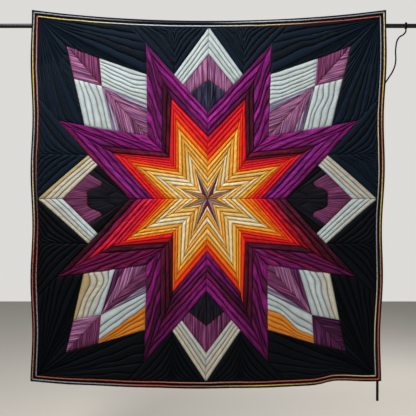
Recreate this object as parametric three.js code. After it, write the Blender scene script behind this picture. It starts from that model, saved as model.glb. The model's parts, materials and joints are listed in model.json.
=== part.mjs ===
// A star quilt that hangs in front of a thin rod, with a cord beside it.
// Millimetres, +Z up, the front faces -Y, and the origin is at the middle of the rod's axis.
import * as THREE from "three";
import { mergeVertices } from "three/addons/utils/BufferGeometryUtils.js";

// Finished size of the quilt, lying flat, as half widths from the star's centre
const HALF_WIDTH = 762;
const HALF_HEIGHT = 800;
const STAR_CENTRE_Z = -749;

// The padded sheet: three layers sewn flat at a seam, puffed up between the seams
const SEAM_THICKNESS = 3;
const PUFF = 6;
const PUFF_BEVEL = 9;
const BEVEL_SHARE = 0.55;
const LEAST_PUFF = 0.3;
const LONGEST_EDGE = 80;
const SAME_PLACE = 1e-3;
const ON_LINE = 1e-4;

// Edge finish: a folded binding, then two twisted cords, then the pieced ground
const CLOTH = 1.2;
const SEWN_GAP = 0.5;
const BINDING_LEG = 6.6;
const CORD_RADIUS = 2.6;
const OUTER_CORD_IN = 9.8;
const INNER_CORD_IN = 25;
const BORDER = 28;
const BORDER_SEAM = 1;
const MITRE_GAP = 0.2;
const EDGE_CORD_SIDES = 6;

// Rod and seat
const ROD_RADIUS = 9.5;
const ROD_LENGTH = 1930;
const ROD_SIDES = 32;
const SEAT_GAP = 0.3;
const SIDE_CLEARANCE = 2;

// Black cord at the right, its loop round the rod and its straight weight
const PULL_CORD_RADIUS = 3.2;
const PULL_CORD_STEPS = 78;
const PULL_CORD_SIDES = 8;
const PULL_CORD_END_Z = -1502;
const WEIGHT_RADIUS = 5.8;
const WEIGHT_LENGTH = 120;
const WEIGHT_CHAMFER = 1.5;
const LOOP_STEPS = 20;

// How far the hanging cloth departs from a flat rectangle
const TOP_CORNER_RISE = 12;
const TOP_DIP = 44;
const BOTTOM_CORNER_RISE = 15;
const BOTTOM_DIP = 30;
const WIDTH_SHARE = 0.995;
const TAPER = 0.0085;
const SIDEWAYS_MIDDLE = -5;
const SIDEWAYS_LEAN = 7;
const SIDE_WAVER = 4;
const SIDE_WAVES = 3.4;
const CORNER_LEAN = 10;
const CORNER_LEAN_FROM = 560;
const FOLDS_START = 640;

// Soft vertical folds: place across, half width, how far they stand forward at the hem
const FOLDS = [
  { at: -610, halfWidth: 105, depth: 11 },
  { at: -330, halfWidth: 120, depth: 7 },
  { at: -50, halfWidth: 130, depth: 12 },
  { at: 250, halfWidth: 115, depth: 8 },
  { at: 545, halfWidth: 85, depth: 11 },
];

// The hem's upward kink near its right end
const KINK = { at: 560, leftWidth: 62, rightWidth: 110, rise: 17, from: -600, to: -795 };

// Outlines of the nested star, in the quadrant up and to the right of its centre. A notch lies on
// the upright or level axis, or on the diagonal between two arms; channels are the strips inside it
const STAR_RINGS = [
  {
    notchUp: 390, tipUp: [270, 693], notchMid: [262, 280],
    tipSide: [650, 337], notchSide: 338, channels: 3,
  },
  {
    notchUp: 279, tipUp: [158, 447], notchMid: [166, 184],
    tipSide: [411, 202], notchSide: 232, channels: 1,
  },
  {
    notchUp: 222, tipUp: [148, 398], notchMid: [148, 145],
    tipSide: [356, 180], notchSide: 195, channels: 1,
  },
  {
    notchUp: 172, tipUp: [129, 318], notchMid: [126, 120],
    tipSide: [313, 148], notchSide: 163, channels: 3,
  },
  {
    notchUp: 48, tipUp: [55, 133], notchMid: [37, 37],
    tipSide: [110, 40], notchSide: 58, channels: 1,
  },
];

// Chevron diamonds between the arms: bands from the border to the notch, as the place on the axis
// and the share of the star's edge from notch to tip
const UPRIGHT_CHEVRONS = [
  { axis: HALF_HEIGHT - BORDER, edge: 0.55, channels: 4 },
  { axis: 650, edge: 0.4, channels: 2 },
  { axis: 537, edge: 0.285, channels: 1 },
];
const SIDE_CHEVRONS = [
  { axis: HALF_WIDTH - BORDER, edge: 0.57, channels: 4 },
  { axis: 626, edge: 0.44, channels: 2 },
  { axis: 507, edge: 0.31, channels: 1 },
];

// Corner kites of four patches: their tip, and where they meet and split the star's edges
const KITE_TIP = [610, 662];
const KITE_UP_SHARE = 0.667;
const KITE_SIDE_SHARE = 0.7;
const KITE_OUTER_SPLIT = 0.41;
const KITE_INNER_SPLIT = 0.45;
const KITE_MIDDLE = 0.565;
const KITE_FAN_SPLIT = 0.5;
const KITE_CHANNELS = 4;
const GROUND_CHANNELS = 4;

const COLOURS = {
  quilt: "#4a1f4e",
  binding: "#0d0d14",
  cords: { top: "#8d93a3", right: "#b98a4a", bottom: "#a0503c", left: "#b59a78" },
  rod: "#2b2a2c",
  pullCord: "#0c0c0d",
};

const mix = THREE.MathUtils.lerp;
const smooth = THREE.MathUtils.smoothstep;
const bell = (distance) => Math.exp(-distance * distance);
const between = (a, b, share) => new THREE.Vector2().lerpVectors(a, b, share);

// Place of a point of the flat quilt once it hangs: u across, v up from the star's centre, and out
// towards the viewer from the back of the cloth
function hang(u, v, out) {
  const across = u / HALF_WIDTH;
  const up = v / HALF_HEIGHT;
  const bow = 1 - across * across;
  const rise = up > 0 ? TOP_CORNER_RISE - TOP_DIP * bow : BOTTOM_CORNER_RISE - BOTTOM_DIP * bow;
  const kinkWidth = u < KINK.at ? KINK.leftWidth : KINK.rightWidth;
  const kink = KINK.rise * bell((u - KINK.at) / kinkWidth) * smooth(-v, -KINK.from, -KINK.to);
  const waver = SIDE_WAVER * across ** 5 * Math.sin(up * SIDE_WAVES * Math.PI);
  const low = Math.max(0, (FOLDS_START - v) / (FOLDS_START + HALF_HEIGHT));
  let forward = SIDE_CLEARANCE * across ** 6;
  for (const fold of FOLDS) {
    forward += fold.depth * low * bell((u - fold.at) / fold.halfWidth);
  }
  const overRod = Math.max(0, (v - CORNER_LEAN_FROM) / (HALF_HEIGHT - CORNER_LEAN_FROM));
  forward += CORNER_LEAN * overRod * overRod * across ** 4;
  return new THREE.Vector3(
    u * (WIDTH_SHARE + TAPER * up) + SIDEWAYS_MIDDLE + SIDEWAYS_LEAN * up + waver,
    -(ROD_RADIUS + SEAT_GAP) - forward - out,
    STAR_CENTRE_Z + v + Math.abs(up) * rise + kink,
  );
}

// A closed geometry from a loose list of triangle corners, turned to face out
function closedGeometry(corners) {
  const loose = new THREE.BufferGeometry().setFromPoints(corners);
  const geometry = mergeVertices(loose, SAME_PLACE);
  const index = geometry.index.array;
  const place = geometry.attributes.position;
  const [a, b, c] = [new THREE.Vector3(), new THREE.Vector3(), new THREE.Vector3()];
  let volume = 0;
  for (let i = 0; i < index.length; i += 3) {
    a.fromBufferAttribute(place, index[i]);
    b.fromBufferAttribute(place, index[i + 1]);
    c.fromBufferAttribute(place, index[i + 2]);
    volume += a.dot(b.cross(c));
  }
  if (volume < 0) {
    for (let i = 0; i < index.length; i += 3) {
      [index[i], index[i + 1]] = [index[i + 1], index[i]];
    }
  }
  geometry.computeVertexNormals();
  return geometry;
}

// Triangles between two chains of points that run the same way, the first on the right of the second
function zip(right, left) {
  const lengths = (chain) => {
    const sums = [0];
    for (let i = 1; i < chain.length; i += 1) {
      sums.push(sums[i - 1] + chain[i].distanceTo(chain[i - 1]));
    }
    return sums.map((sum) => sum / (sums[sums.length - 1] || 1));
  };
  const rightAt = lengths(right);
  const leftAt = lengths(left);
  const triangles = [];
  let i = 0;
  let k = 0;
  while (i < right.length - 1 || k < left.length - 1) {
    const stepRight = k === left.length - 1 || (i < right.length - 1 && rightAt[i + 1] <= leftAt[k + 1]);
    if (stepRight) {
      triangles.push(right[i], right[i + 1], left[k]);
      i += 1;
    } else {
      triangles.push(right[i], left[k + 1], left[k]);
      k += 1;
    }
  }
  return triangles.filter((point, n) => {
    const first = n - (n % 3);
    const [a, b, c] = triangles.slice(first, first + 3);
    return a !== b && b !== c && c !== a;
  });
}

// Flat pattern: each face is a strip of two rails (four corners) or a wedge (its apex first)
function quadrantFaces() {
  const point = ([u, v]) => new THREE.Vector2(u, v);
  const rings = STAR_RINGS.map((ring) => ({
    channels: ring.channels,
    notchUp: point([0, ring.notchUp]),
    tipUp: point(ring.tipUp),
    notchMid: point(ring.notchMid),
    tipSide: point(ring.tipSide),
    notchSide: point([ring.notchSide, 0]),
  }));
  const faces = [];
  const strips = (a0, a1, b0, b1, channels) => {
    for (let n = 0; n < channels; n += 1) {
      const [near, far] = [n / channels, (n + 1) / channels];
      const [nearStart, nearEnd] = [between(a0, b0, near), between(a1, b1, near)];
      const [farStart, farEnd] = [between(a0, b0, far), between(a1, b1, far)];
      faces.push([nearStart, nearEnd, farEnd, farStart]);
    }
  };
  const halfArms = [
    ["notchUp", "tipUp"],
    ["notchMid", "tipUp"],
    ["notchMid", "tipSide"],
    ["notchSide", "tipSide"],
  ];
  const centre = point([0, 0]);
  for (const [notch, tip] of halfArms) {
    rings.slice(0, -1).forEach((ring, n) => {
      strips(ring[notch], ring[tip], rings[n + 1][notch], rings[n + 1][tip], ring.channels);
    });
    const petal = rings[rings.length - 1];
    faces.push([centre, petal[notch], petal[tip]]);
  }

  const star = rings[0];
  const [top, side] = [HALF_HEIGHT - BORDER, HALF_WIDTH - BORDER];
  const chevrons = (bands, notch, tip, axisPoint) => {
    const axis = bands.map((band) => axisPoint(band.axis));
    const edge = bands.map((band) => between(notch, tip, band.edge));
    for (let n = 0; n < bands.length - 1; n += 1) {
      strips(axis[n], edge[n], axis[n + 1], edge[n + 1], bands[n].channels);
    }
    faces.push([notch, edge[bands.length - 1], axis[bands.length - 1]]);
    return edge[0];
  };
  const upperEnd = chevrons(UPRIGHT_CHEVRONS, star.notchUp, star.tipUp, (v) => point([0, v]));
  const sideEnd = chevrons(SIDE_CHEVRONS, star.notchSide, star.tipSide, (u) => point([u, 0]));

  const kiteTip = point(KITE_TIP);
  const kiteUp = between(star.notchMid, star.tipUp, KITE_UP_SHARE);
  const kiteSide = between(star.notchMid, star.tipSide, KITE_SIDE_SHARE);
  const outerUp = between(kiteTip, kiteUp, KITE_OUTER_SPLIT);
  const outerSide = between(kiteTip, kiteSide, KITE_OUTER_SPLIT);
  const innerUp = between(kiteUp, star.notchMid, KITE_INNER_SPLIT);
  const innerSide = between(kiteSide, star.notchMid, KITE_INNER_SPLIT);
  const kiteMiddle = between(star.notchMid, kiteTip, KITE_MIDDLE);
  faces.push([kiteTip, outerUp, kiteMiddle], [kiteTip, kiteMiddle, outerSide]);
  strips(outerUp, kiteUp, kiteMiddle, innerUp, KITE_CHANNELS);
  strips(outerSide, kiteSide, kiteMiddle, innerSide, KITE_CHANNELS);
  const fan = [innerUp, between(innerUp, star.notchMid, KITE_FAN_SPLIT), star.notchMid];
  fan.push(between(star.notchMid, innerSide, KITE_FAN_SPLIT), innerSide);
  for (let n = 0; n < fan.length - 1; n += 1) {
    faces.push([kiteMiddle, fan[n], fan[n + 1]]);
  }

  // Ground echo lines: parallel to the diamond on one side of a seam and to the star's arm on the other
  const corner = point([side, top]);
  const upperSeam = point([upperEnd.x, top]);
  const upperBorder = between(upperEnd, star.tipUp, (top - upperEnd.y) / (star.tipUp.y - upperEnd.y));
  const sideSeam = point([side, sideEnd.y]);
  const sideBorder = between(sideEnd, star.tipSide, (side - sideEnd.x) / (star.tipSide.x - sideEnd.x));
  const echo = (end, seam, border) => {
    const last = 1 / GROUND_CHANNELS;
    const [lastEnd, lastBorder] = [between(seam, end, last), between(seam, border, last)];
    strips(end, border, lastEnd, lastBorder, GROUND_CHANNELS - 1);
    faces.push([seam, lastEnd, lastBorder]);
  };
  echo(upperEnd, upperSeam, point([0, top]));
  echo(upperEnd, upperSeam, upperBorder);
  echo(sideEnd, sideSeam, point([side, 0]));
  echo(sideEnd, sideSeam, sideBorder);

  // Wedges that spread from the quilt's corner along the kite and the star's arms
  const spread = (stops) => {
    for (let n = 0; n < stops.length - 1; n += 1) {
      faces.push([corner, stops[n], stops[n + 1]]);
    }
  };
  spread([kiteTip, outerUp, kiteUp, star.tipUp, upperBorder]);
  spread([kiteTip, outerSide, kiteSide, star.tipSide, sideBorder]);
  return faces;
}

// The whole pattern: the quadrant mirrored both ways, with corners in anticlockwise order
function patternFaces() {
  const faces = [];
  for (const [across, up] of [[1, 1], [-1, 1], [-1, -1], [1, -1]]) {
    for (const corners of quadrantFaces()) {
      const turned = corners.map((p) => new THREE.Vector2(p.x * across, p.y * up));
      faces.push(anticlockwise(turned));
    }
  }
  return faces;
}

// A wedge keeps its apex first, and a strip keeps its two rails
function anticlockwise(corners) {
  const clockwise = THREE.ShapeUtils.isClockWise(corners);
  if (corners.length === 3) {
    return clockwise ? [corners[0], corners[2], corners[1]] : corners;
  }
  return clockwise ? [corners[3], corners[2], corners[1], corners[0]] : corners;
}

// Equal steps along a straight edge, the same from either end
function steps(from, to) {
  const forwards = from.x < to.x || (from.x === to.x && from.y < to.y);
  const [low, high] = forwards ? [from, to] : [to, from];
  const count = Math.ceil(low.distanceTo(high) / LONGEST_EDGE);
  const points = [];
  for (let n = 0; n <= count; n += 1) {
    points.push(between(low, high, n / count));
  }
  return forwards ? points : points.reverse();
}

// An edge with the corners of other faces that lie on it, and equal steps between those
function edgeChain(from, to, knots) {
  const direction = to.clone().sub(from);
  const length = direction.length();
  direction.divideScalar(length);
  const stops = [];
  for (const knot of knots) {
    const offset = knot.clone().sub(from);
    const along = offset.dot(direction);
    const inside = along > SAME_PLACE && along < length - SAME_PLACE;
    if (inside && Math.abs(offset.cross(direction)) < ON_LINE) {
      stops.push({ along, knot });
    }
  }
  stops.sort((a, b) => a.along - b.along);
  const bends = [from, ...stops.map((stop) => stop.knot), to];
  const chain = [from];
  for (let n = 0; n < bends.length - 1; n += 1) {
    chain.push(...steps(bends[n], bends[n + 1]).slice(1));
  }
  return chain;
}

// Corners of a convex face moved in from every edge, and how far they could move
function insetCorners(corners) {
  const count = corners.length;
  const edges = corners.map((p, n) => corners[(n + 1) % count].clone().sub(p));
  const lengths = edges.map((edge) => edge.length());
  edges.forEach((edge) => edge.normalize());
  const halfCotangents = corners.map((_, n) => {
    const cosine = -edges[(n + count - 1) % count].dot(edges[n]);
    return Math.sqrt((1 + cosine) / (1 - cosine));
  });
  const rooms = lengths.map((length, n) => length / (halfCotangents[n] + halfCotangents[(n + 1) % count]));
  const room = Math.min(...rooms);
  const inset = Math.min(PUFF_BEVEL, BEVEL_SHARE * room);
  const moved = corners.map((p, n) => {
    const before = edges[(n + count - 1) % count];
    const after = edges[n];
    const normals = new THREE.Vector2(-before.y - after.y, before.x + after.x);
    return normals.multiplyScalar(inset / (1 + before.dot(after))).add(p);
  });
  return { moved, share: inset / PUFF_BEVEL };
}

// The four sides, as turns of the upper one: s runs along the side, inset is the way in from its edge
const SIDES = [
  { name: "top", half: HALF_WIDTH, place: (s, inset) => [s, HALF_HEIGHT - inset] },
  { name: "right", half: HALF_HEIGHT, place: (s, inset) => [HALF_WIDTH - inset, -s] },
  { name: "bottom", half: HALF_WIDTH, place: (s, inset) => [-s, inset - HALF_HEIGHT] },
  { name: "left", half: HALF_HEIGHT, place: (s, inset) => [inset - HALF_WIDTH, s] },
];

// Points along a side at one inset, in the same equal steps at every inset
function sideChain(side, inset, shortBy = 0) {
  const count = Math.ceil((2 * side.half) / LONGEST_EDGE);
  const half = side.half - inset - shortBy;
  const points = [];
  for (let n = 0; n <= count; n += 1) {
    points.push(new THREE.Vector2(...side.place(mix(-half, half, n / count), inset)));
  }
  return points;
}

// The padded sheet: pillowed faces in front, a plain border and back, and a thin rim between
function quiltGeometry() {
  const faces = patternFaces();
  const known = new Map();
  for (const p of faces.flat()) {
    known.set(`${p.x.toFixed(3)} ${p.y.toFixed(3)}`, p);
  }
  const knots = [...known.values()];
  const triangles = [];
  const lift = (points, out) => points.map((p) => hang(p.x, p.y, out));
  for (const corners of faces) {
    const next = (n) => (n + 1) % corners.length;
    const seams = corners.map((p, n) => lift(edgeChain(p, corners[next(n)], knots), SEAM_THICKNESS));
    const { moved, share } = insetCorners(corners);
    const height = SEAM_THICKNESS + PUFF * Math.min(1, share + LEAST_PUFF);
    const isEnd = (n) => n === 1 || n === 3;
    const crownLine = (p, n) => (isEnd(n) ? [p, moved[next(n)]] : steps(p, moved[next(n)]));
    const open = moved.map((p, n) => lift(crownLine(p, n), height));
    const crown = open.map((chain, n) => [...chain.slice(0, -1), open[next(n)][0]]);
    crown.forEach((chain, n) => triangles.push(...zip(seams[n], chain)));
    triangles.push(...zip(crown[0], crown[2].slice().reverse()));
  }

  const rim = CLOTH + SEAT_GAP;
  for (const side of SIDES) {
    const edge = sideChain(side, rim);
    const beforeSeam = sideChain(side, BORDER - BORDER_SEAM);
    const ends = sideChain(side, BORDER);
    const seam = edgeChain(ends[0], ends.at(-1), knots);
    const edgeLine = lift(edge, SEAM_THICKNESS);
    const middleLine = lift(beforeSeam, SEAM_THICKNESS);
    const seamLine = lift(seam, SEAM_THICKNESS);
    triangles.push(...zip(middleLine, edgeLine), ...zip(seamLine, middleLine));
    triangles.push(...zip(edgeLine, lift(edge, 0)));
  }
  const columns = sideChain(SIDES[0], rim).map((p) => p.x);
  const rows = sideChain(SIDES[1], rim).map((p) => p.y);
  const back = rows.map((v) => columns.map((u) => hang(u, v, 0)));
  for (let r = 0; r < rows.length - 1; r += 1) {
    triangles.push(...zip(back[r], back[r + 1]));
  }
  return closedGeometry(triangles);
}

// A strip of one section along a side, mitred at both ends; a section point is (inset, out)
function edgeStrip(side, section) {
  const lines = section.map((p) => sideChain(side, p.x, MITRE_GAP).map((q) => hang(q.x, q.y, p.y)));
  const loops = lines[0].map((_, n) => lines.map((line) => line[n]));
  const count = loops.length - 1;
  const triangles = [];
  for (let n = 0; n < count; n += 1) {
    const wrap = (loop) => [...loop, loop[0]];
    const [near, far] = [wrap(loops[n]), wrap(loops[n + 1])];
    for (let k = 0; k < section.length; k += 1) {
      triangles.push(near[k], near[k + 1], far[k + 1], near[k], far[k + 1], far[k]);
    }
  }
  const clockwise = THREE.ShapeUtils.isClockWise(section);
  for (const face of THREE.ShapeUtils.triangulateShape(section, [])) {
    const turned = clockwise ? face.slice().reverse() : face;
    triangles.push(...turned.slice().reverse().map((k) => loops[0][k]));
    triangles.push(...turned.map((k) => loops[count][k]));
  }
  return closedGeometry(triangles);
}

// Section of the binding, folded round the sheet's edge
function bindingSection() {
  const [backOut, frontOut] = [-SEWN_GAP - CLOTH, SEAM_THICKNESS + SEWN_GAP + CLOTH];
  return [
    [0, backOut], [BINDING_LEG, backOut], [BINDING_LEG, backOut + CLOTH], [CLOTH, backOut + CLOTH],
    [CLOTH, frontOut - CLOTH], [BINDING_LEG, frontOut - CLOTH], [BINDING_LEG, frontOut], [0, frontOut],
  ].map(([inset, out]) => new THREE.Vector2(inset, out));
}

// Round section of a sewn-on cord, lying on the border
function cordSection(inset) {
  const centre = new THREE.Vector2(inset, SEAM_THICKNESS + SEWN_GAP + CORD_RADIUS);
  const corners = [];
  for (let n = 0; n < EDGE_CORD_SIDES; n += 1) {
    const angle = (n / EDGE_CORD_SIDES) * 2 * Math.PI;
    const corner = new THREE.Vector2(Math.cos(angle), Math.sin(angle));
    corners.push(corner.multiplyScalar(CORD_RADIUS).add(centre));
  }
  return corners;
}

// The black cord's route from under its loop, in the plane of the rod: out to the left, behind the
// quilt's edge, then straight down
const PULL_CORD_TOP_Z = -(ROD_RADIUS + 2 * SEAT_GAP + 2 * PULL_CORD_RADIUS);
const PULL_CORD_ROUTE = [
  { x: 854, z: PULL_CORD_TOP_Z },
  { x: 852, z: -27 },
  { x: 841, z: -39 },
  { x: 825, z: -49 },
  { x: 814, z: -70 },
  { x: 809, z: -108 },
  { x: 810, z: -143 },
  { x: 806, z: -173 },
  { x: 793, z: -203 },
  { x: 774, z: -232 },
  { x: 755, z: -264 },
  { x: 741, z: -306 },
  { x: 734, z: -366 },
  { x: 731, z: -440 },
  { x: 730, z: -560 },
  { x: 730, z: -740 },
  { x: 730, z: -930 },
  { x: 730, z: -1120 },
  { x: 730, z: -1310 },
  { x: 730, z: PULL_CORD_END_Z },
];

function pullCordGeometry() {
  const stops = PULL_CORD_ROUTE.map(({ x, z }) => new THREE.Vector3(x, 0, z));
  const route = new THREE.CatmullRomCurve3(stops);
  const section = new THREE.Shape();
  for (let n = 0; n < PULL_CORD_SIDES; n += 1) {
    const angle = (n / PULL_CORD_SIDES) * 2 * Math.PI;
    const corner = [PULL_CORD_RADIUS * Math.cos(angle), PULL_CORD_RADIUS * Math.sin(angle)];
    if (n === 0) {
      section.moveTo(...corner);
    } else {
      section.lineTo(...corner);
    }
  }
  section.closePath();
  return new THREE.ExtrudeGeometry(section, { steps: PULL_CORD_STEPS, extrudePath: route });
}

// A ring of the same cord round the rod
function cordLoopGeometry() {
  const middle = ROD_RADIUS + SEAT_GAP + PULL_CORD_RADIUS;
  const profile = [];
  for (let n = 0; n <= PULL_CORD_SIDES; n += 1) {
    const angle = (n / PULL_CORD_SIDES) * 2 * Math.PI;
    const [out, along] = [Math.cos(angle) * PULL_CORD_RADIUS, Math.sin(angle) * PULL_CORD_RADIUS];
    profile.push(new THREE.Vector2(middle + out, along));
  }
  return new THREE.LatheGeometry(profile, LOOP_STEPS).rotateZ(Math.PI / 2);
}

// A plain round bar with eased ends
function weightGeometry() {
  const profile = [
    [0, 0], [WEIGHT_RADIUS - WEIGHT_CHAMFER, 0], [WEIGHT_RADIUS, WEIGHT_CHAMFER],
    [WEIGHT_RADIUS, WEIGHT_LENGTH - WEIGHT_CHAMFER], [WEIGHT_RADIUS - WEIGHT_CHAMFER, WEIGHT_LENGTH],
    [0, WEIGHT_LENGTH],
  ].map(([radius, height]) => new THREE.Vector2(radius, height));
  return new THREE.LatheGeometry(profile, LOOP_STEPS).rotateX(Math.PI / 2);
}

const hanging = new THREE.Group();

function add(name, geometry, material) {
  const mesh = new THREE.Mesh(geometry, material);
  mesh.name = name;
  hanging.add(mesh);
  return mesh;
}

const cloth = (color) => new THREE.MeshStandardMaterial({ color, roughness: 0.85, metalness: 0 });

add("quilt", quiltGeometry(), cloth(COLOURS.quilt));
for (const side of SIDES) {
  const dyed = cloth(COLOURS.cords[side.name]);
  add(`binding_${side.name}`, edgeStrip(side, bindingSection()), cloth(COLOURS.binding));
  add(`outer_cord_${side.name}`, edgeStrip(side, cordSection(OUTER_CORD_IN)), dyed);
  add(`inner_cord_${side.name}`, edgeStrip(side, cordSection(INNER_CORD_IN)), dyed);
}

const metal = new THREE.MeshStandardMaterial({ color: COLOURS.rod, roughness: 0.4, metalness: 0.8 });
const rod = add("rod", new THREE.CylinderGeometry(ROD_RADIUS, ROD_RADIUS, ROD_LENGTH, ROD_SIDES), metal);
rod.rotation.z = Math.PI / 2;

add("pull_cord", pullCordGeometry(), cloth(COLOURS.pullCord));
const loop = add("cord_loop", cordLoopGeometry(), cloth(COLOURS.pullCord));
loop.position.x = PULL_CORD_ROUTE[0].x;
const weight = add("cord_weight", weightGeometry(), cloth(COLOURS.pullCord));
weight.position.set(PULL_CORD_ROUTE.at(-1).x, 0, PULL_CORD_END_Z - SEAT_GAP - WEIGHT_LENGTH);

export default hanging;
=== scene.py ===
import json
import math
import bpy
import numpy as np
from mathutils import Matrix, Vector, kdtree

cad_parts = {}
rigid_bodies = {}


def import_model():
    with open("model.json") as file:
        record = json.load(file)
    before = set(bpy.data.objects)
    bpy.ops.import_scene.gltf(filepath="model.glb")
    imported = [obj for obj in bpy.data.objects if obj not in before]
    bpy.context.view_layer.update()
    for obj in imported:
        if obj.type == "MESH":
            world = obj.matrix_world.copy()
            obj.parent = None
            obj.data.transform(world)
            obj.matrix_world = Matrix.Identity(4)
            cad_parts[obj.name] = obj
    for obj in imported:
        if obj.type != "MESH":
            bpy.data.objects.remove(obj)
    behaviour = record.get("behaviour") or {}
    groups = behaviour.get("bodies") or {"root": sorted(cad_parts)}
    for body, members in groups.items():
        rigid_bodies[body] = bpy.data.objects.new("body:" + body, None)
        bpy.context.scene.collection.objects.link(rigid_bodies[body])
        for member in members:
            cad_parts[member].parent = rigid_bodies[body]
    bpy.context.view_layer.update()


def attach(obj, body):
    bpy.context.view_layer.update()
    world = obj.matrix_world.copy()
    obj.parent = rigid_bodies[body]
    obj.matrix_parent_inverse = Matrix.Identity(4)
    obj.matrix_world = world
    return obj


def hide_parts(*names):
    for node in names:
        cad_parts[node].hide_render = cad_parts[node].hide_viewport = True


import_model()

# The view: the quilt is seen square on, from about three metres, with its rod near the top of the
# picture. A picture element of the 416 wide frame is 4.3 mm on the cloth.
MM = 0.001
PIXEL = 4.3 * MM
PICTURE = 416
VIEW_CENTRE = Vector((-2.6, 0.0, -788.0)) * MM
VIEW_DISTANCE = 3.2
CLOTH_PLANE = -0.02


def placed_object(name, data):
    """A new object of the scene that holds the given data."""
    made = bpy.data.objects.new(name, data)
    bpy.context.scene.collection.objects.link(made)
    return made


camera_data = bpy.data.cameras.new("camera")
camera_data.sensor_fit = "HORIZONTAL"
camera_data.lens = camera_data.sensor_width * (VIEW_DISTANCE + CLOTH_PLANE) / (PICTURE * PIXEL)
camera = placed_object("camera", camera_data)
camera.location = VIEW_CENTRE + Vector((0, -VIEW_DISTANCE, 0))
camera.rotation_euler = (math.radians(90), 0, 0)
bpy.context.scene.camera = camera
bpy.context.scene.view_settings.view_transform = "Standard"


# The black cord at the right: a limp braided cord, tied round the rod in one ring, that runs out to
# the side, in behind the quilt's edge and straight down to a round bar that keeps it taut.
def hue(code):
    """A web colour as linear red, green and blue."""
    parts = [int(code[n:n + 2], 16) / 255 for n in (1, 3, 5)]
    return tuple(c / 12.92 if c <= 0.04045 else ((c + 0.055) / 1.055) ** 2.4 for c in parts)


class Wire:
    """A node socket that takes part in Python sums, and makes the nodes that it meets."""

    def __init__(self, tree, socket=None):
        self.tree = tree
        self.socket = socket

    def node(self, kind, inputs, output=0, stops=(), **settings):
        made = self.tree.nodes.new(kind)
        for name, value in settings.items():
            setattr(made, name, value)
        for n, (place, colour) in enumerate(stops):
            ramp = made.color_ramp.elements
            stop = ramp[n] if n < 2 else ramp.new(place)
            stop.position = place
            stop.color = (*colour, 1)
        for name, value in inputs.items():
            if isinstance(value, Wire):
                self.tree.links.new(value.socket, made.inputs[name])
            else:
                made.inputs[name].default_value = value
        return Wire(self.tree, made.outputs[output])

    def maths(self, operation, first, second=0.0):
        return self.node("ShaderNodeMath", {0: first, 1: second}, operation=operation)

    def __add__(self, other):
        return self.maths("ADD", self, other)

    def __sub__(self, other):
        return self.maths("SUBTRACT", self, other)

    def __mul__(self, other):
        return self.maths("MULTIPLY", self, other)

    __radd__ = __add__
    __rmul__ = __mul__


class Finish:
    """A material with one principled shader: constants go on its sockets, wires feed the rest."""

    def __init__(self, name, **constants):
        self.material = bpy.data.materials.new(name)
        self.material.use_nodes = True
        self.tree = self.material.node_tree
        self.shader = self.tree.nodes["Principled BSDF"]
        self.start = Wire(self.tree)
        for socket, value in constants.items():
            self.shader.inputs[socket.replace("_", " ")].default_value = value

    def feed(self, socket, wire):
        self.tree.links.new(wire.socket, self.shader.inputs[socket])

    def coordinates(self, output="Object"):
        return self.start.node("ShaderNodeTexCoord", {}, output)

    def stretched(self, output, scale, place=(0, 0, 0)):
        inputs = {"Vector": self.coordinates(output), "Scale": scale, "Location": place}
        return self.start.node("ShaderNodeMapping", inputs)

    def noise(self, vector, scale, detail=2.0, roughness=0.5):
        inputs = {"Vector": vector, "Scale": scale, "Detail": detail, "Roughness": roughness}
        return self.start.node("ShaderNodeTexNoise", inputs)

    def bands(self, vector, scale, direction, distortion=0.0):
        inputs = {"Vector": vector, "Scale": scale, "Distortion": distortion}
        settings = {"wave_type": "BANDS", "bands_direction": direction, "wave_profile": "SIN"}
        return self.start.node("ShaderNodeTexWave", inputs, "Fac", **settings)

    def tinted(self, colour, light):
        """A colour wire made lighter or darker by a value."""
        joined = self.start.node("ShaderNodeCombineXYZ", {0: light, 1: light, 2: light})
        return self.start.node("ShaderNodeVectorMath", {0: colour, 1: joined}, operation="MULTIPLY")

    def mixed(self, factor, first, second):
        first, second = ((*c, 1) if isinstance(c, tuple) else c for c in (first, second))
        inputs = {"Factor": factor, 6: first, 7: second}
        return self.start.node("ShaderNodeMix", inputs, output=2, data_type="RGBA")

    def raised(self, height, distance, strength=1.0):
        inputs = {"Height": height, "Distance": distance, "Strength": strength}
        self.feed("Normal", self.start.node("ShaderNodeBump", inputs))


def mesh_piece(name, points, faces, material, uvs=None, tints=None):
    """A piece at the origin from arrays, with a map of metres along and across, and cloth colours."""
    mesh = bpy.data.meshes.new(name)
    mesh.from_pydata(np.asarray(points).tolist(), [], [list(map(int, face)) for face in faces])
    corners = np.empty(len(mesh.loops), dtype=np.int64)
    mesh.loops.foreach_get("vertex_index", corners)
    if uvs is not None:
        layer = mesh.uv_layers.new(name="cloth_way")
        layer.data.foreach_set("uv", np.asarray(uvs, dtype=np.float32)[corners].ravel())
    if tints is not None:
        layer = mesh.attributes.new("cloth_colour", "FLOAT_COLOR", "POINT")
        solid = np.concatenate([np.asarray(tints), np.ones((len(points), 1))], axis=1)
        layer.data.foreach_set("color", solid.astype(np.float32).ravel())
    mesh.shade_smooth()
    mesh.materials.append(material)
    mesh.update()
    return placed_object(name, mesh)


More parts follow.
